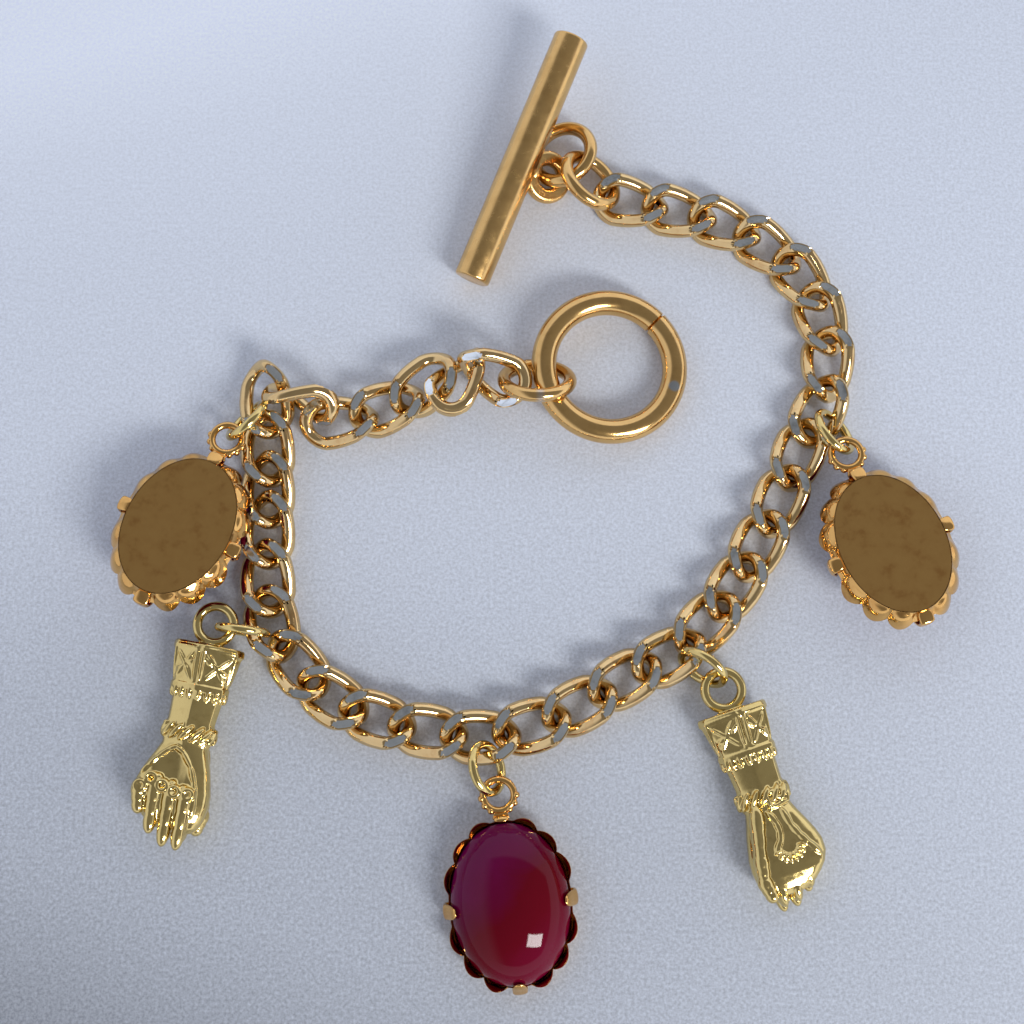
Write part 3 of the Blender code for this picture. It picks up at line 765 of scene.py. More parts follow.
def model_prong(sizes, half, short):
    """A prong on the +X side at a half width of the stone: a strap out of the back, folded in over the dome.

    The short one, at the loop, stops at the stone's edge.
    """
    foot = half + CUP_PLAY + PRONG_STAND
    inner, outer, root = foot - PRONG_THICKNESS / 2, foot + PRONG_THICKNESS / 2, half - ROOT_REACH
    stations = [(foot, CUP_SHOULDER + 0.5 * MM, 1.0), (foot, STONE_EDGE + 0.35 * MM, 1.0)]
    for inset, narrow in SHORT_PRONG_TIP if short else PRONG_TIP:
        reach = half - inset
        height = STONE_EDGE + dome_height(sizes, reach, half)
        stations.append((reach + DOME_STAND[0], height + DOME_STAND[1], narrow))
    bpy.ops.mesh.primitive_cube_add(size=1.0)
    prong = named("prong")
    edit(prong)
    bpy.ops.transform.resize(value=(outer - root, PRONG_WIDTH, ROOT_THICKNESS))
    bpy.ops.transform.translate(value=((outer + root) / 2, 0, ROOT_LEVEL))
    pick_points(prong, lambda co: co.x > foot)
    bpy.ops.transform.translate(value=(0, 0, ROOT_RISE))
    cut((inner, 0, 0), (1, 0, 0))
    pick_faces(prong, lambda middle, normal: normal.z > 0.3 and middle.x > inner)
    x, z = foot, 1.0 * MM
    for next_x, next_z, narrow in stations:
        draw_out((next_x - x, 0, next_z - z), (0.97 * narrow, narrow, 1), (next_x, 0, next_z))
        x, z = next_x, next_z
    leave_edit()
    apply_modifier(prong, "SUBSURF", levels=3, render_levels=3)
    smooth(prong, 60)
    return prong


# A setting's loop, by its outside diameter and wire, the tab that narrows towards it, and the beads soldered
# round it on both sides, at turns in degrees.
SETTING_LOOP = (4.2 * MM, 0.8 * MM)
TAB_WIDTH = 2.0 * MM
TAB_THICKNESS = 0.6 * MM
TAB_NARROWING = (0.7, 0.8)
BEAD_TURNS = (32, 58, 84)
BEAD_SIZES = (0.78 * MM, 0.78 * MM, 0.85 * MM)
BEAD_STAND = 0.24 * MM
BEAD_RISE = 0.08 * MM


def model_setting(sizes):
    """A whole setting, with its loop's middle at the origin and the stone's side up."""
    cup = model_cup(sizes)
    parts = []
    for quarter in range(4):
        half = (sizes.stone_length if quarter % 2 == 0 else sizes.stone_width) / 2
        prong = model_prong(sizes, half, quarter == 2)
        place_mesh(prong, Matrix.Rotation(quarter * pi / 2, 4, "Z"))
        parts.append(prong)
    join(cup, parts)
    place_mesh(cup, Matrix.Translation((LOOP_REACH, 0, -LOOP_RISE)))
    loop = model_ring("loop", *SETTING_LOOP, None, 64, 20)
    smooth(loop, 60)
    start = LOOP_REACH - sizes.stone_length / 2 - CUP_PLAY - CUP_WALL / 2
    end = (SETTING_LOOP[0] - SETTING_LOOP[1]) / 2
    bpy.ops.mesh.primitive_cube_add(size=1.0)
    tab = named("tab")
    edit(tab)
    bpy.ops.transform.resize(value=(start - end, TAB_WIDTH, TAB_THICKNESS))
    bpy.ops.transform.translate(value=((start + end) / 2, 0, 0))
    pick_points(tab, lambda co: co.x < (start + end) / 2)
    bpy.ops.transform.resize(value=(1, *TAB_NARROWING), center_override=(end, 0, 0))
    leave_edit()
    apply_modifier(tab, "BEVEL", width=0.15 * MM, segments=3, limit_method="ANGLE", angle_limit=radians(40))
    smooth(tab, 40)
    beads = []
    for side in (1, -1):
        for turn in BEAD_TURNS:
            out, angle = end + BEAD_STAND, radians(turn)
            spot = Vector((out * cos(angle), side * out * sin(angle), BEAD_RISE))
            bead = model_bead("loop_bead", spot, BEAD_SIZES)
            smooth(bead, 60)
            beads.append(bead)
    return join(cup, [loop, tab, *beads])


# A stone below its dome: the height of its girdle and of its tapered foot, and how far the foot goes in.
GIRDLE = 0.2 * MM
STONE_FOOT = 0.55 * MM
STONE_TAPER = 0.9 * MM


def model_stone(sizes):
    """An oval cabochon, domed above a thin girdle and tapered to its flat base."""
    halves = sizes.stone_length / 2, sizes.stone_width / 2
    bpy.ops.mesh.primitive_uv_sphere_add(segments=128, ring_count=64, radius=1.0)
    stone = named("cabochon")
    edit(stone)
    bpy.ops.transform.resize(value=(*halves, sizes.stone_dome))
    bpy.ops.mesh.bisect(plane_co=(0, 0, 1e-7), plane_no=(0, 0, 1), use_fill=True, clear_inner=True)
    pick_faces(stone, lambda middle, normal: middle.z < NEAR and normal.z < -0.9)
    draw_out((0, 0, -GIRDLE), (1, 1, 1), (0, 0, -GIRDLE))
    taper = [1 - STONE_TAPER / half for half in halves]
    draw_out((0, 0, -STONE_FOOT), (*taper, 1), (0, 0, -GIRDLE - STONE_FOOT))
    close_edit()
    smooth(stone, 45)
    place_mesh(stone, Matrix.Translation((LOOP_REACH, 0, STONE_EDGE - LOOP_RISE)))
    return stone


def face_down_tilt(sizes, loop_height):
    """How far a face-down charm's far end lifts, so that its dome touches the surface."""
    low, high = 0.0, 30.0
    for _ in range(40):
        tilt = (low + high) / 2
        lean = radians(tilt)
        centre = loop_height + LOOP_REACH * sin(lean) - (STONE_EDGE - LOOP_RISE) * cos(lean)
        if centre < hypot(sizes.stone_length / 2 * sin(lean), sizes.stone_dome * cos(lean)):
            low = tilt
        else:
            high = tilt
    return tilt


def charm_places(sizes):
    """Where the three stone charms lie: the ruby one face up, the others face down."""
    pitch = pitch_of(sizes)
    reach = LOOP_REACH + sizes.stone_length / 2 - PLATE_INSET
    face_up = -degrees(asin((RUBY_LOOP[2] * pitch - LOOP_RISE) / reach))
    places = {"ruby": pitched(sizes, *RUBY_LOOP, face_up)}
    for name, loop in (("left", LEFT_SETTING_LOOP), ("right", RIGHT_SETTING_LOOP)):
        places[name] = pitched(sizes, *loop, face_down_tilt(sizes, loop[2] * pitch), 180)
    return places


# Sections of a hand from the cuff down: share of its length, reach to the left and to the right of the loop's
# line as shares of its width, and share of its thickness.
HAND_SECTIONS = [
    (0.000, 0.405, 0.405, 0.86), (0.008, 0.425, 0.425, 0.94), (0.035, 0.430, 0.430, 0.97),
    (0.045, 0.405, 0.405, 0.90), (0.120, 0.370, 0.370, 0.86), (0.190, 0.340, 0.330, 0.82),
    (0.200, 0.360, 0.350, 0.90), (0.222, 0.360, 0.350, 0.90), (0.232, 0.320, 0.310, 0.80),
    (0.245, 0.330, 0.320, 0.82), (0.258, 0.305, 0.300, 0.77), (0.300, 0.300, 0.290, 0.76),
    (0.370, 0.290, 0.275, 0.74), (0.385, 0.300, 0.285, 0.76), (0.465, 0.300, 0.285, 0.76),
    (0.485, 0.285, 0.265, 0.68), (0.530, 0.330, 0.300, 0.70), (0.580, 0.390, 0.345, 0.72),
    (0.640, 0.455, 0.385, 0.77), (0.690, 0.490, 0.415, 0.80), (0.745, 0.485, 0.425, 0.82),
    (0.790, 0.430, 0.410, 0.80), (0.825, 0.350, 0.385, 0.72), (0.855, 0.260, 0.350, 0.60),
    (0.880, 0.150, 0.290, 0.40),
]

# Fingers and the thumb's joints, each from its start to its end, in shares of the hand's length and width.
FINGERS = [
    ((0.700, -0.400), (0.810, -0.345)),
    ((0.690, -0.215), (0.880, -0.170)),
    ((0.700, -0.020), (0.922, 0.015)),
    ((0.700, 0.165), (0.925, 0.185)),
]
THUMB = [((0.490, 0.165), (0.700, 0.300)), ((0.680, 0.290), (0.800, 0.345)), ((0.780, 0.345), (0.870, 0.310))]
FINGER_WIDTH = 1.75 * MM

# Joints of a finger: place and length as shares of its way, and width as a share of the finger's.
JOINTS = ((0.2, 0.75, 1.0), (0.5, 0.75, 0.92), (0.84, 0.55, 0.84))

# The hand's loop, where the cuff starts, and the wrist, above which the sleeve is faceted.
HAND_LOOP = (5.2 * MM, 1.1 * MM)
HAND_START = HAND_LOOP[0] / 2 - 0.25 * MM
WRIST = 0.47
FACET = 0.72
FACET_FADE = 0.04


def hand_spot(sizes, along, across, height=0.0):
    """A place on the hand from its shares of length and width, and its height."""
    return Vector((HAND_START + along * sizes.hand_length, across * sizes.hand_width, height))


def section_height(off, facet):
    """Height of a section of the hand, as a share of its greatest, some share out from its middle."""
    off = min(off, 1.0)
    smooth_height = (1 - off ** 2.667) ** 0.375
    edge = 0.86
    faceted = 1 - 0.5 * off / edge if off < edge else 0.5 * (1 - off) / (1 - edge)
    return smooth_height + (faceted - smooth_height) * facet


def facet_at(share):
    """How faceted the hand is at a share of its length: the sleeve is, and the hand below the wrist isn't."""
    return FACET * min(1.0, max(0.0, (WRIST + FACET_FADE - share) / FACET_FADE))


def model_hand_body(sizes):
    """The cuff, the forearm, the wrist and the hand as one long body, drawn section by section."""
    bpy.ops.mesh.primitive_circle_add(vertices=48, radius=1.0, fill_type="NGON", rotation=(0, pi / 2, 0))
    body = named("hand")
    bpy.ops.object.transform_apply(location=False, rotation=True, scale=False)
    for vertex in body.data.vertices:
        turn = atan2(vertex.co.z, vertex.co.y)
        vertex.co.y = abs(cos(turn)) ** 0.75 * (1 if cos(turn) > 0 else -1)
        vertex.co.z = abs(sin(turn)) ** 0.75 * (1 if sin(turn) > 0 else -1)
    ring = len(body.data.vertices)
    edit(body)
    here, wide, deep = Vector((0, 0, 0)), 1.0, 1.0
    for row, (along, left, right, thick) in enumerate(HAND_SECTIONS):
        spot = hand_spot(sizes, along, (right - left) / 2)
        next_wide = (left + right) / 2 * sizes.hand_width
        next_deep = thick * sizes.hand_thickness / 2
        if row:
            bpy.ops.mesh.extrude_region_move(TRANSFORM_OT_translate={"value": spot - here})
        else:
            bpy.ops.transform.translate(value=spot - here)
        bpy.ops.transform.resize(value=(1, next_wide / wide, next_deep / deep), center_override=spot)
        here, wide, deep = spot, next_wide, next_deep
    close_edit()
    for i, vertex in enumerate(body.data.vertices):
        along, left, right, thick = HAND_SECTIONS[i // ring]
        half = (left + right) / 2 * sizes.hand_width
        off = abs(vertex.co.y - (right - left) / 2 * sizes.hand_width) / half
        height = section_height(off, facet_at(along)) * thick * sizes.hand_thickness / 2
        vertex.co.z = height if vertex.co.z > 0 else -height
    body.data.update()
    return body


def model_bead(name, spot, size, turn=0.0, tilt=0.0):
    """A rounded lump at a spot, with its three sizes, turned about Z and then tilted nose up. Degrees."""
    bpy.ops.mesh.primitive_uv_sphere_add(segments=20, ring_count=12, radius=0.5)
    bead = named(name)
    place_mesh(bead, pose(*spot, turn, tilt) @ Matrix.Diagonal((*size, 1)))
    return bead


def model_finger(sizes, start, end, height):
    """A finger of three rounded joints between two spots."""
    first, last = hand_spot(sizes, *start, height), hand_spot(sizes, *end, height)
    way = last - first
    turn = degrees(atan2(way.y, way.x))
    parts = []
    for share, reach, swell in JOINTS:
        width = FINGER_WIDTH * swell
        size = (reach * way.length + 0.3 * FINGER_WIDTH, width, width)
        parts.append(model_bead("finger", first + way * share, size, turn))
    return parts


def skin_height(sizes, along, across):
    """Half the hand's thickness at a spot in metres from its loop's middle."""
    share = min(max((along - HAND_START) / sizes.hand_length, 0.0), HAND_SECTIONS[-1][0])
    for low, high in zip(HAND_SECTIONS, HAND_SECTIONS[1:]):
        if share <= high[0]:
            break
    t = (share - low[0]) / (high[0] - low[0])
    left, right, thick = (a + (b - a) * t for a, b in zip(low[1:], high[1:]))
    half = (left + right) / 2 * sizes.hand_width
    off = abs(across - (right - left) / 2 * sizes.hand_width) / half
    return thick * sizes.hand_thickness / 2 * section_height(off, facet_at(share))


def skin_spot(sizes, face, x, y, stand=0.0):
    """A spot on the hand's upper (1) or lower (-1) face, from millimetres, some way out from the skin."""
    return Vector((x * MM, y * MM, face * (skin_height(sizes, x * MM, y * MM) + stand)))


def model_ridges(sizes, face, paths, width, stand):
    """Raised lines on one face of the hand, through spots in millimetres."""
    beads = []
    for path in paths:
        spots = [skin_spot(sizes, face, x, y, stand - width / 2) for x, y in path]
        for first, last in zip(spots, spots[1:]):
            way = last - first
            turn, tilt = degrees(atan2(way.y, way.x)), degrees(atan2(way.z, hypot(way.x, way.y)))
            size = (way.length + 1.1 * width, width, width)
            beads.append(model_bead("ridge", (first + last) / 2, size, turn, tilt))
    return beads


def model_band(sizes, name, count, along, halves, facet, size, slant=None):
    """Lumps round the wrist's oval. With a slant in degrees, they are a rope's strands and face outwards."""
    half_y, half_z = halves
    lumps = []
    for i in range(count):
        turn = 2 * pi * (i + 0.5) / count
        height = half_z * section_height(abs(cos(turn)), facet) * (1 if sin(turn) > 0 else -1)
        spot = hand_spot(sizes, along, 0.0, height) + Vector((0, half_y * cos(turn), 0))
        roll = 0.0 if slant is None else degrees(atan2(sin(turn) / half_z, cos(turn) / half_y)) - 90
        lump = model_bead(name, Vector((0, 0, 0)), size, slant or 0.0)
        place_mesh(lump, pose(*spot, 0, 0, roll))
        lumps.append(lump)
    return lumps


# Cast relief, in millimetres from the loop's middle: down the hand, then across it. A style is a line's width
# and how far it stands out.
CUFF_FRAMES = [
    [(2.95, -3.45), (2.95, -0.85), (6.75, -0.55), (6.8, -3.0), (2.95, -3.45)],
    [(2.95, -0.1), (2.95, 3.45), (6.8, 3.0), (6.75, 0.1), (2.95, -0.1)],
]
CUFF_LEAVES = [
    [(3.5, 0.5), (4.5, 1.4), (6.2, 2.5)], [(3.6, 2.9), (4.9, 1.7), (6.2, 0.6)], [(4.1, 0.4), (4.6, 0.9)],
    [(5.3, 2.6), (5.1, 2.1)], [(3.6, -3.0), (5.0, -1.9), (6.3, -1.1)],
    [(3.5, -1.2), (4.8, -1.9), (6.2, -2.7)], [(4.4, -1.1), (4.7, -1.5)], [(5.5, -2.6), (5.3, -2.1)],
]
BACK_RIDGE = [
    (17.3, -3.8), (16.6, -3.35), (15.5, -2.5), (14.4, -1.4), (14.0, -0.7), (14.4, 0.1), (15.8, 1.3),
    (17.4, 2.1), (19.2, 2.55), (20.9, 2.6),
]
PALM_LINES = [
    [(14.2, 0.25), (15.2, -0.15), (16.2, -0.25), (17.2, 0.05), (18.0, 0.75)],
    [(14.3, -1.3), (16.0, -1.6), (17.2, -2.1), (18.3, -2.7), (19.6, -3.5)],
]
WRIST_LEAF = [
    [(12.0, -0.1), (11.95, -2.6)], [(13.6, -0.2), (13.4, -2.4)], [(12.0, -0.1), (13.6, -0.2)],
    [(11.95, -2.6), (13.4, -2.4)], [(12.4, -0.9), (13.1, -1.7)],
]
FRAME_STYLE = (0.42 * MM, 0.19 * MM)
LEAF_STYLE = (0.46 * MM, 0.2 * MM)
RIDGE_STYLE = (0.62 * MM, 0.3 * MM)
PALM_STYLE = (0.8 * MM, 0.3 * MM)
WRIST_LEAF_STYLE = (0.55 * MM, 0.42 * MM)

# Bands of flutes and of a rope's strands: how many, share of the hand's length, halves of their oval, how
# faceted it is, and a lump's sizes. The strands have a slant in degrees too.
FLUTES = (19, 0.235, (3.05 * MM, 1.75 * MM), FACET, (1.6 * MM, 0.55 * MM, 0.75 * MM))
STRANDS = (14, 0.425, (2.75 * MM, 1.72 * MM), 0.5 * FACET, (2.3 * MM, 0.72 * MM, 0.9 * MM), -38)

# Rings and knuckles on the fingers' side, the frilled arc on the other, the fingertips, and the dish in the
# hand, by its middle, half sizes and depth.
KNUCKLE_RING = (1.6 * MM, 0.52 * MM)
KNUCKLE_RINGS = [
    (18.8, -3.5, 2.06), (17.75, -2.5, 1.97), (18.3, -1.15, 2.05), (18.7, 0.3, 2.08), (18.75, 1.85, 2.06),
]
KNUCKLES = [(17.4, -1.7), (17.8, -0.1), (18.1, 1.2), (19.5, -2.8), (19.5, -0.3), (19.6, 1.3)]
KNUCKLE_SIZES = (0.9375 * MM, 0.6 * MM, 0.75 * MM)
FRILL_MIDDLE = (17.9, -0.6)
FRILL_RADIUS = 1.35
FRILL_SPREAD = 144
FRILL_STROKES = 8
FRILL_SIZES = (1.1 * MM, 0.34 * MM, 0.7 * MM)
FINGERTIP_SIZES = (3.4 * MM, 1.45 * MM, 2.7 * MM)
BACK_DISH = (16.3, -0.5, 3.0, 2.6, 0.5)
CASTING_GRAIN = 0.1 * MM


def model_ornament(sizes):
    """The lines, bands, rings and lumps of the cast relief."""
    parts = []
    for face in (1, -1):
        parts += model_ridges(sizes, face, CUFF_FRAMES, *FRAME_STYLE)
        parts += model_ridges(sizes, face, CUFF_LEAVES, *LEAF_STYLE)
    parts += model_band(sizes, "flute", *FLUTES)
    parts += model_band(sizes, "strand", *STRANDS)
    parts += model_ridges(sizes, 1, [BACK_RIDGE], *RIDGE_STYLE)
    for x, y in KNUCKLES:
        parts.append(model_bead("bump", skin_spot(sizes, 1, x, y), KNUCKLE_SIZES, 35 * x))
    for x, y, z in KNUCKLE_RINGS:
        knuckle = model_ring("knuckle", *KNUCKLE_RING, None, 20, 10)
        place_mesh(knuckle, Matrix.Translation((x * MM, y * MM, z * MM)))
        parts.append(knuckle)
    parts += model_ridges(sizes, -1, PALM_LINES, *PALM_STYLE)
    parts += model_ridges(sizes, -1, WRIST_LEAF, *WRIST_LEAF_STYLE)
    for i in range(FRILL_STROKES):
        turn = radians(FRILL_SPREAD) * (i / (FRILL_STROKES - 1) - 0.5)
        x = FRILL_MIDDLE[0] + FRILL_RADIUS * cos(turn)
        y = FRILL_MIDDLE[1] + FRILL_RADIUS * sin(turn)
        parts.append(model_bead("frill", skin_spot(sizes, -1, x, y), FRILL_SIZES, degrees(turn)))
    return parts


def model_hand(sizes):
    """A cast hand with its loop's middle at the origin and its fingers' side up."""
    body = model_hand_body(sizes)
    parts = [model_ring("hand_loop", *HAND_LOOP, None, 48, 16)]
    lift = (sizes.hand_thickness - FINGER_WIDTH) / 2
    for joints, height in ((FINGERS, lift), (THUMB, -lift)):
        for start, end in joints:
            parts += model_finger(sizes, start, end, height)
    parts += model_ornament(sizes)
    for start, end in FINGERS:
        first, last = hand_spot(sizes, *start), hand_spot(sizes, *end)
        way = (last - first).normalized()
        spot = last - way * 1.5 * MM - Vector((0, 0, 0.1 * MM))
        parts.append(model_bead("tip", spot, FINGERTIP_SIZES, degrees(atan2(way.y, way.x))))
    join(body, parts)
    apply_modifier(body, "REMESH", mode="VOXEL", voxel_size=CASTING_GRAIN)
    apply_modifier(body, "SMOOTH", factor=0.5, iterations=1)
    x, y, half_x, half_y, depth = BACK_DISH
    for vertex in body.data.vertices:
        off = ((vertex.co.x / MM - x) / half_x) ** 2 + ((vertex.co.y / MM - y) / half_y) ** 2
        if off < 1 and vertex.co.z > 0:
            vertex.co.z -= depth * MM * (1 - off) ** 2
    select_only(body)
    bpy.ops.object.shade_smooth()
    return body


class BRACELET_OT_chain(bpy.types.Operator):
    """Models one curb link and lays its copies along the chain"""

    bl_idname = "bracelet.chain"
    bl_label = "Chain of curb links"

    def execute(self, context):
        sizes, colours = context.scene.bracelet_sizes, context.scene.bracelet_colours
        original = model_link(sizes)
        original.data.materials.append(link_gilding(colours))
        original.data.materials.append(rubbed_silver(colours))
        for number in range(1, LINK_COUNT + 1):
            link = copy_of(original, f"curb_link_{number:02d}", link_place(sizes, number))
            stand_in(link, f"link_{number:02d}")
        discard(original)
        return {"FINISHED"}


# Outside diameter and wire of the rings, the turns of their seams in degrees, and the spots where the gilding
# is worn off, each with its reach.
THICK_RINGS = {
    "ring_a": (8.66 * MM, 1.56 * MM), "ring_b": (8.46 * MM, 1.56 * MM), "end_ring": (9.15 * MM, 1.55 * MM),
}
JUMP_RING = (6.3 * MM, 1.0 * MM)
RING_SEAM = 200.0
TOGGLE_SEAM = -135.0
END_RING_WORN = (0.5 * MM, -3.76 * MM, 0)
END_RING_WORN_REACH = 1.0 * MM
TOGGLE_WORN_TURN = 161.5
TOGGLE_WORN_REACH = 0.8 * MM


class BRACELET_OT_rings(bpy.types.Operator):
    """Models the round rings that join the rest"""

    bl_idname = "bracelet.rings"
    bl_label = "Round rings"

    def execute(self, context):
        sizes, colours = context.scene.bracelet_sizes, context.scene.bracelet_colours
        pale = ring_gilding(colours)
        worn = pitched(sizes, *RING_PLACES["end_ring"]) @ Vector(END_RING_WORN)
        warm = toggle_gilding(colours, [(worn, END_RING_WORN_REACH)])
        for name, place in RING_PLACES.items():
            ring = model_ring(f"{name}_piece", *THICK_RINGS.get(name, JUMP_RING), RING_SEAM)
            smooth(ring, 30)
            place_mesh(ring, pitched(sizes, *place))
            ring.data.materials.append(warm if name in THICK_RINGS else pale)
            stand_in(ring, name)
        return {"FINISHED"}


class BRACELET_OT_toggle_ring(bpy.types.Operator):
    """Models the thick toggle ring with its seam"""

    bl_idname = "bracelet.toggle_ring"
    bl_label = "Toggle ring"

    def execute(self, context):
        sizes, colours = context.scene.bracelet_sizes, context.scene.bracelet_colours
        ring = model_ring("toggle_ring_piece", sizes.toggle_ring, sizes.toggle_wire, TOGGLE_SEAM, 128, 32)
        smooth(ring, 30)
        place = pitched(sizes, *TOGGLE_RING_PLACE)
        place_mesh(ring, place)
        middle, turn = (sizes.toggle_ring - sizes.toggle_wire) / 2, radians(TOGGLE_WORN_TURN)
        worn = place @ Vector((middle * cos(turn), middle * sin(turn), 0.45 * sizes.toggle_wire))
        ring.data.materials.append(toggle_gilding(colours, [(worn, TOGGLE_WORN_REACH)]))
        stand_in(ring, "toggle_ring")
        return {"FINISHED"}


class BRACELET_OT_toggle_bar(bpy.types.Operator):
    """Models the toggle bar and its eyelet"""

    bl_idname = "bracelet.toggle_bar"
    bl_label = "Toggle bar"

    def execute(self, context):
        sizes, colours = context.scene.bracelet_sizes, context.scene.bracelet_colours
        x, y, z, heading = TOGGLE_BAR_PLACE
        place = pitched(sizes, x, y, z, heading, bar_tilt(sizes, z * pitch_of(sizes)))
        bar = model_bar(sizes)
        place_mesh(bar, place)
        bar.data.materials.append(bar_gilding(colours, place))
        stand_in(bar, "toggle_bar")
        return {"FINISHED"}


class BRACELET_OT_settings(bpy.types.Operator):
    """Models one scalloped setting and lays its three copies"""

    bl_idname = "bracelet.settings"
    bl_label = "Scalloped settings"

    def execute(self, context):
        sizes, colours = context.scene.bracelet_sizes, context.scene.bracelet_colours
        original = model_setting(sizes)
        original.data.materials.append(cup_gilding(colours))
        original.data.materials.append(back_gilding(colours))
        for name, place in charm_places(sizes).items():
            setting = copy_of(original, f"setting_{name}_piece", place)
            stand_in(setting, f"setting_{name}")
        discard(original)
        return {"FINISHED"}


class BRACELET_OT_stones(bpy.types.Operator):
    """Models one oval stone and sets its three copies"""

    bl_idname = "bracelet.stones"
    bl_label = "Oval stones"

    def execute(self, context):
        sizes, colours = context.scene.bracelet_sizes, context.scene.bracelet_colours
        original = model_stone(sizes)
        for name, place in charm_places(sizes).items():
            stone = copy_of(original, f"cabochon_{name}_piece", place)
            stone.data.materials.append(ruby_glass(colours, f"ruby_glass_{name}", place))
            stand_in(stone, f"cabochon_{name}")
        discard(original)
        return {"FINISHED"}


class BRACELET_OT_hands(bpy.types.Operator):
    """Models one cast hand and lays its two copies, one turned over"""

    bl_idname = "bracelet.hands"
    bl_label = "Cast hands"

    def execute(self, context):
        sizes, colours = context.scene.bracelet_sizes, context.scene.bracelet_colours
        original = model_hand(sizes)
        original.data.materials.append(hand_gilding(colours))
        height = sizes.hand_thickness / 2 / pitch_of(sizes)
        for name, loop, roll in (("left", LEFT_HAND_LOOP, 0), ("right", RIGHT_HAND_LOOP, 180)):
            x, y, heading = loop
            hand = copy_of(original, f"hand_{name}_piece", pitched(sizes, x, y, height, heading, 0, roll))
            stand_in(hand, f"hand_{name}")
        discard(original)
        return {"FINISHED"}


# The surface, a little below the pieces: tones as shares of its colour from near to far, which are painted
# shade, darkest at the near edge and lightest far off; where they begin and end, how they fan out to the left,
# the grain's size, and its swing from near to far.
FLOOR_SIZE = 2.4
FLOOR_DROP = 0.03 * MM
FLOOR_PAINTED_SHADE = (
    (0.0, 0.5), (0.16, 0.76), (0.31, 0.84), (0.45, 1.0), (0.55, 1.1), (0.75, 1.15), (0.88, 1.23), (1.0, 1.38))
FLOOR_REACH = (-85 * MM, 80 * MM)
FLOOR_FAN = -0.008 / MM
FLOOR_GRAIN = 0.36 * MM
FLOOR_SWING = (1.3, 0.3)


def floor_surface(colours):
    """Matt laminate with a fine moulded grain: pale lavender grey, with painted shade that makes it duller and
    darker at the near edge.
    """
    material, tree, where = new_material("matt_laminate")
    axes = split(tree, where)
    far = maths(tree, "MULTIPLY", axes["Y"], maths(tree, "MULTIPLY_ADD", axes["X"], FLOOR_FAN, 1.0))
    share = remap(tree, far, FLOOR_REACH, (0.0, 1.0))
    # Painted shade: the colour darkens towards the near edge and lightens far off, fanned out to the left.
    painted_shade = ramp(tree, share, [(position, darker(colours.floor, tone)) for position, tone in FLOOR_PAINTED_SHADE])
    grain = noise(tree, where, 1 / FLOOR_GRAIN, detail=2.0, roughness=0.7)
    swing = remap(tree, share, (0.0, 1.0), FLOOR_SWING)
    speck = maths(tree, "MULTIPLY_ADD", maths(tree, "SUBTRACT", grain, 0.5), swing, 1.0)
    feed(tree.nodes["Principled BSDF"], {
        "Base Color": scaled(tree, painted_shade, speck), "Roughness": 0.6, "Normal": bump(tree, grain, 0.008 * MM)})
    return material


# The room: a direction sees a wall where its product with one of these rows is over 0, and else the ceiling.
WALLS = ((-0.3, 0, -0.186), (0, 1, -0.81), (0, -1, -2.5), (1, 0, -2.3))
CEILING_GREY = (0.235, 0.235, 0.24, 1)
WALL_WHITE = (0.93, 0.97, 1.1, 1)


def studio_world():
    """A room seen from the table: a mid-grey ceiling overhead, pale walls round it, brighter to the right."""
    world = bpy.data.worlds.new("studio")
    world.use_nodes = True
    tree = world.node_tree
    way = add_node(tree, "ShaderNodeTexCoord", {}).outputs["Generated"]
    walls = [
        add_node(tree, "ShaderNodeVectorMath", {0: way, 1: wall}, operation="DOT_PRODUCT").outputs["Value"]
        for wall in WALLS]
    past = walls[0]
    for wall in walls[1:]:
        past = maths(tree, "MAXIMUM", past, wall)
    room = remap(tree, past, (-0.05, 0.09), (0.0, 1.0), "SMOOTHSTEP")
    shades = ramp(tree, room, [(0.0, CEILING_GREY), (1.0, WALL_WHITE)])
    sideways = remap(tree, split(tree, way)["X"], (-1.0, 1.0), (0.8, 1.2))
    feed(tree.nodes["Background"], {"Color": scaled(tree, shades, sideways), "Strength": 1.0})
    return world


# Oblong lights: place, size, power, tint, and whether only polished metal and glass show it.
LIGHTS = {
    "window": ((0.385, -0.445, 0.44), (0.16, 0.31), 2.9, (1.0, 0.99, 0.97), False),
    "window_glare": ((0.384, -0.444, 0.439), (0.14, 0.28), 2.4, (0.98, 0.99, 1.0), True),
}
LIGHT_TURN = 40
CAMERA_ELEVATION = radians(80)
CAMERA_DISTANCE = 164.4 * MM


def add_light(name, aim, place, size, power, tint, mirrored_only):
    """A soft oblong light aimed at a point.

    One that is mirrored only shows in polished metal and glass, and casts no light on the surface.
    """
    data = bpy.data.lights.new(name, "AREA")
    data.shape = "RECTANGLE"
    data.size, data.size_y = size
    data.energy, data.color = power, tint
    lamp = bpy.data.objects.new(name, data)
    bpy.context.scene.collection.objects.link(lamp)
    lamp.location = place
    facing = (aim - Vector(place)).to_track_quat("-Z", "Y").to_matrix()
    lamp.rotation_euler = (facing @ Matrix.Rotation(radians(LIGHT_TURN), 3, "Z")).to_euler()
    lamp.visible_diffuse = not mirrored_only


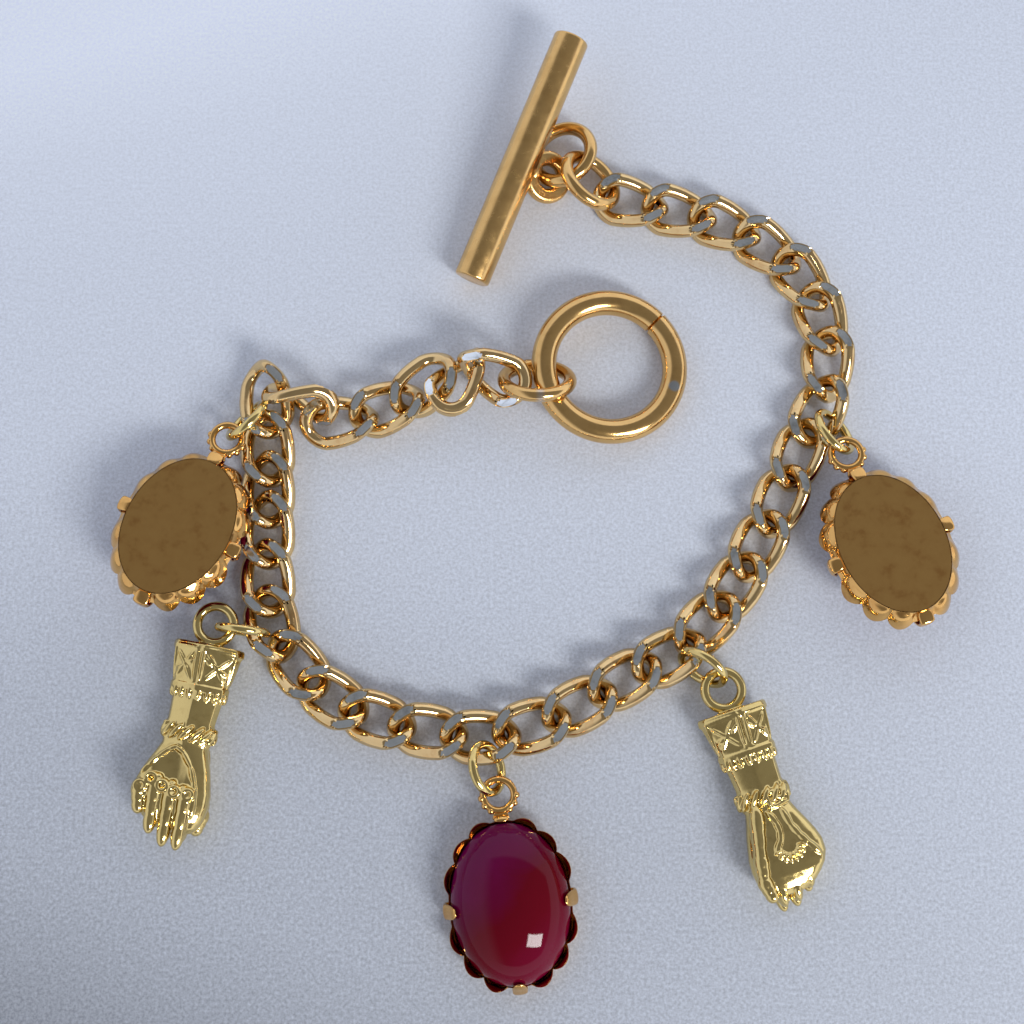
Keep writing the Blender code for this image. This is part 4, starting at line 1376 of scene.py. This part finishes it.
class BRACELET_OT_stage(bpy.types.Operator):
    """Lays the pale surface, sets the studio light and aims the camera"""

    bl_idname = "bracelet.stage"
    bl_label = "Surface, light and camera"

    def execute(self, context):
        sizes, colours = context.scene.bracelet_sizes, context.scene.bracelet_colours
        bpy.ops.mesh.primitive_plane_add(size=FLOOR_SIZE)
        floor = named("surface")
        floor.data.materials.append(floor_surface(colours))
        place_mesh(floor, Matrix.Translation((0, 0, -FLOOR_DROP)))
        context.scene.world = studio_world()
        aim = route_origin(sizes)
        for name, light in LIGHTS.items():
            add_light(name, aim, *light)
        context.scene.view_settings.view_transform = "Standard"
        camera = bpy.data.objects.new("camera", bpy.data.cameras.new("camera"))
        context.scene.collection.objects.link(camera)
        away = Vector((0, -cos(CAMERA_ELEVATION), sin(CAMERA_ELEVATION)))
        camera.location = aim + away * CAMERA_DISTANCE
        camera.rotation_euler = (pi / 2 - CAMERA_ELEVATION, 0, 0)
        camera.data.lens = 50
        camera.data.sensor_width = 36
        camera.data.clip_start, camera.data.clip_end = 0.001, 10
        context.scene.camera = camera
        return {"FINISHED"}


class BRACELET_PT_panel(bpy.types.Panel):
    """Sizes, colours and steps of the bracelet"""

    bl_label = "Charm bracelet"
    bl_idname = "BRACELET_PT_panel"
    bl_space_type = "VIEW_3D"
    bl_region_type = "UI"
    bl_category = "Bracelet"

    def draw(self, context):
        for group in (context.scene.bracelet_sizes, context.scene.bracelet_colours):
            box = self.layout.box()
            for key in group.__annotations__:
                box.prop(group, key)
        for operator in OPERATORS:
            self.layout.operator(operator.bl_idname)


GROUPS = (BraceletSizes, BraceletColours)
OPERATORS = (
    BRACELET_OT_chain, BRACELET_OT_rings, BRACELET_OT_toggle_ring, BRACELET_OT_toggle_bar,
    BRACELET_OT_settings, BRACELET_OT_stones, BRACELET_OT_hands, BRACELET_OT_stage,
)


def register():
    """Registers the classes and adds the bracelet's settings to the scene."""
    for made in (*GROUPS, *OPERATORS, BRACELET_PT_panel):
        bpy.utils.register_class(made)
    bpy.types.Scene.bracelet_sizes = PointerProperty(type=BraceletSizes)
    bpy.types.Scene.bracelet_colours = PointerProperty(type=BraceletColours)


def unregister():
    """Takes the settings and the classes away."""
    del bpy.types.Scene.bracelet_colours
    del bpy.types.Scene.bracelet_sizes
    for made in reversed((*GROUPS, *OPERATORS, BRACELET_PT_panel)):
        bpy.utils.unregister_class(made)


def main():
    """Builds every piece and the stage."""
    register()
    bpy.ops.bracelet.chain()
    bpy.ops.bracelet.rings()
    bpy.ops.bracelet.toggle_ring()
    bpy.ops.bracelet.toggle_bar()
    bpy.ops.bracelet.settings()
    bpy.ops.bracelet.stones()
    bpy.ops.bracelet.hands()
    bpy.ops.bracelet.stage()


if __name__ == "__main__":
    main()
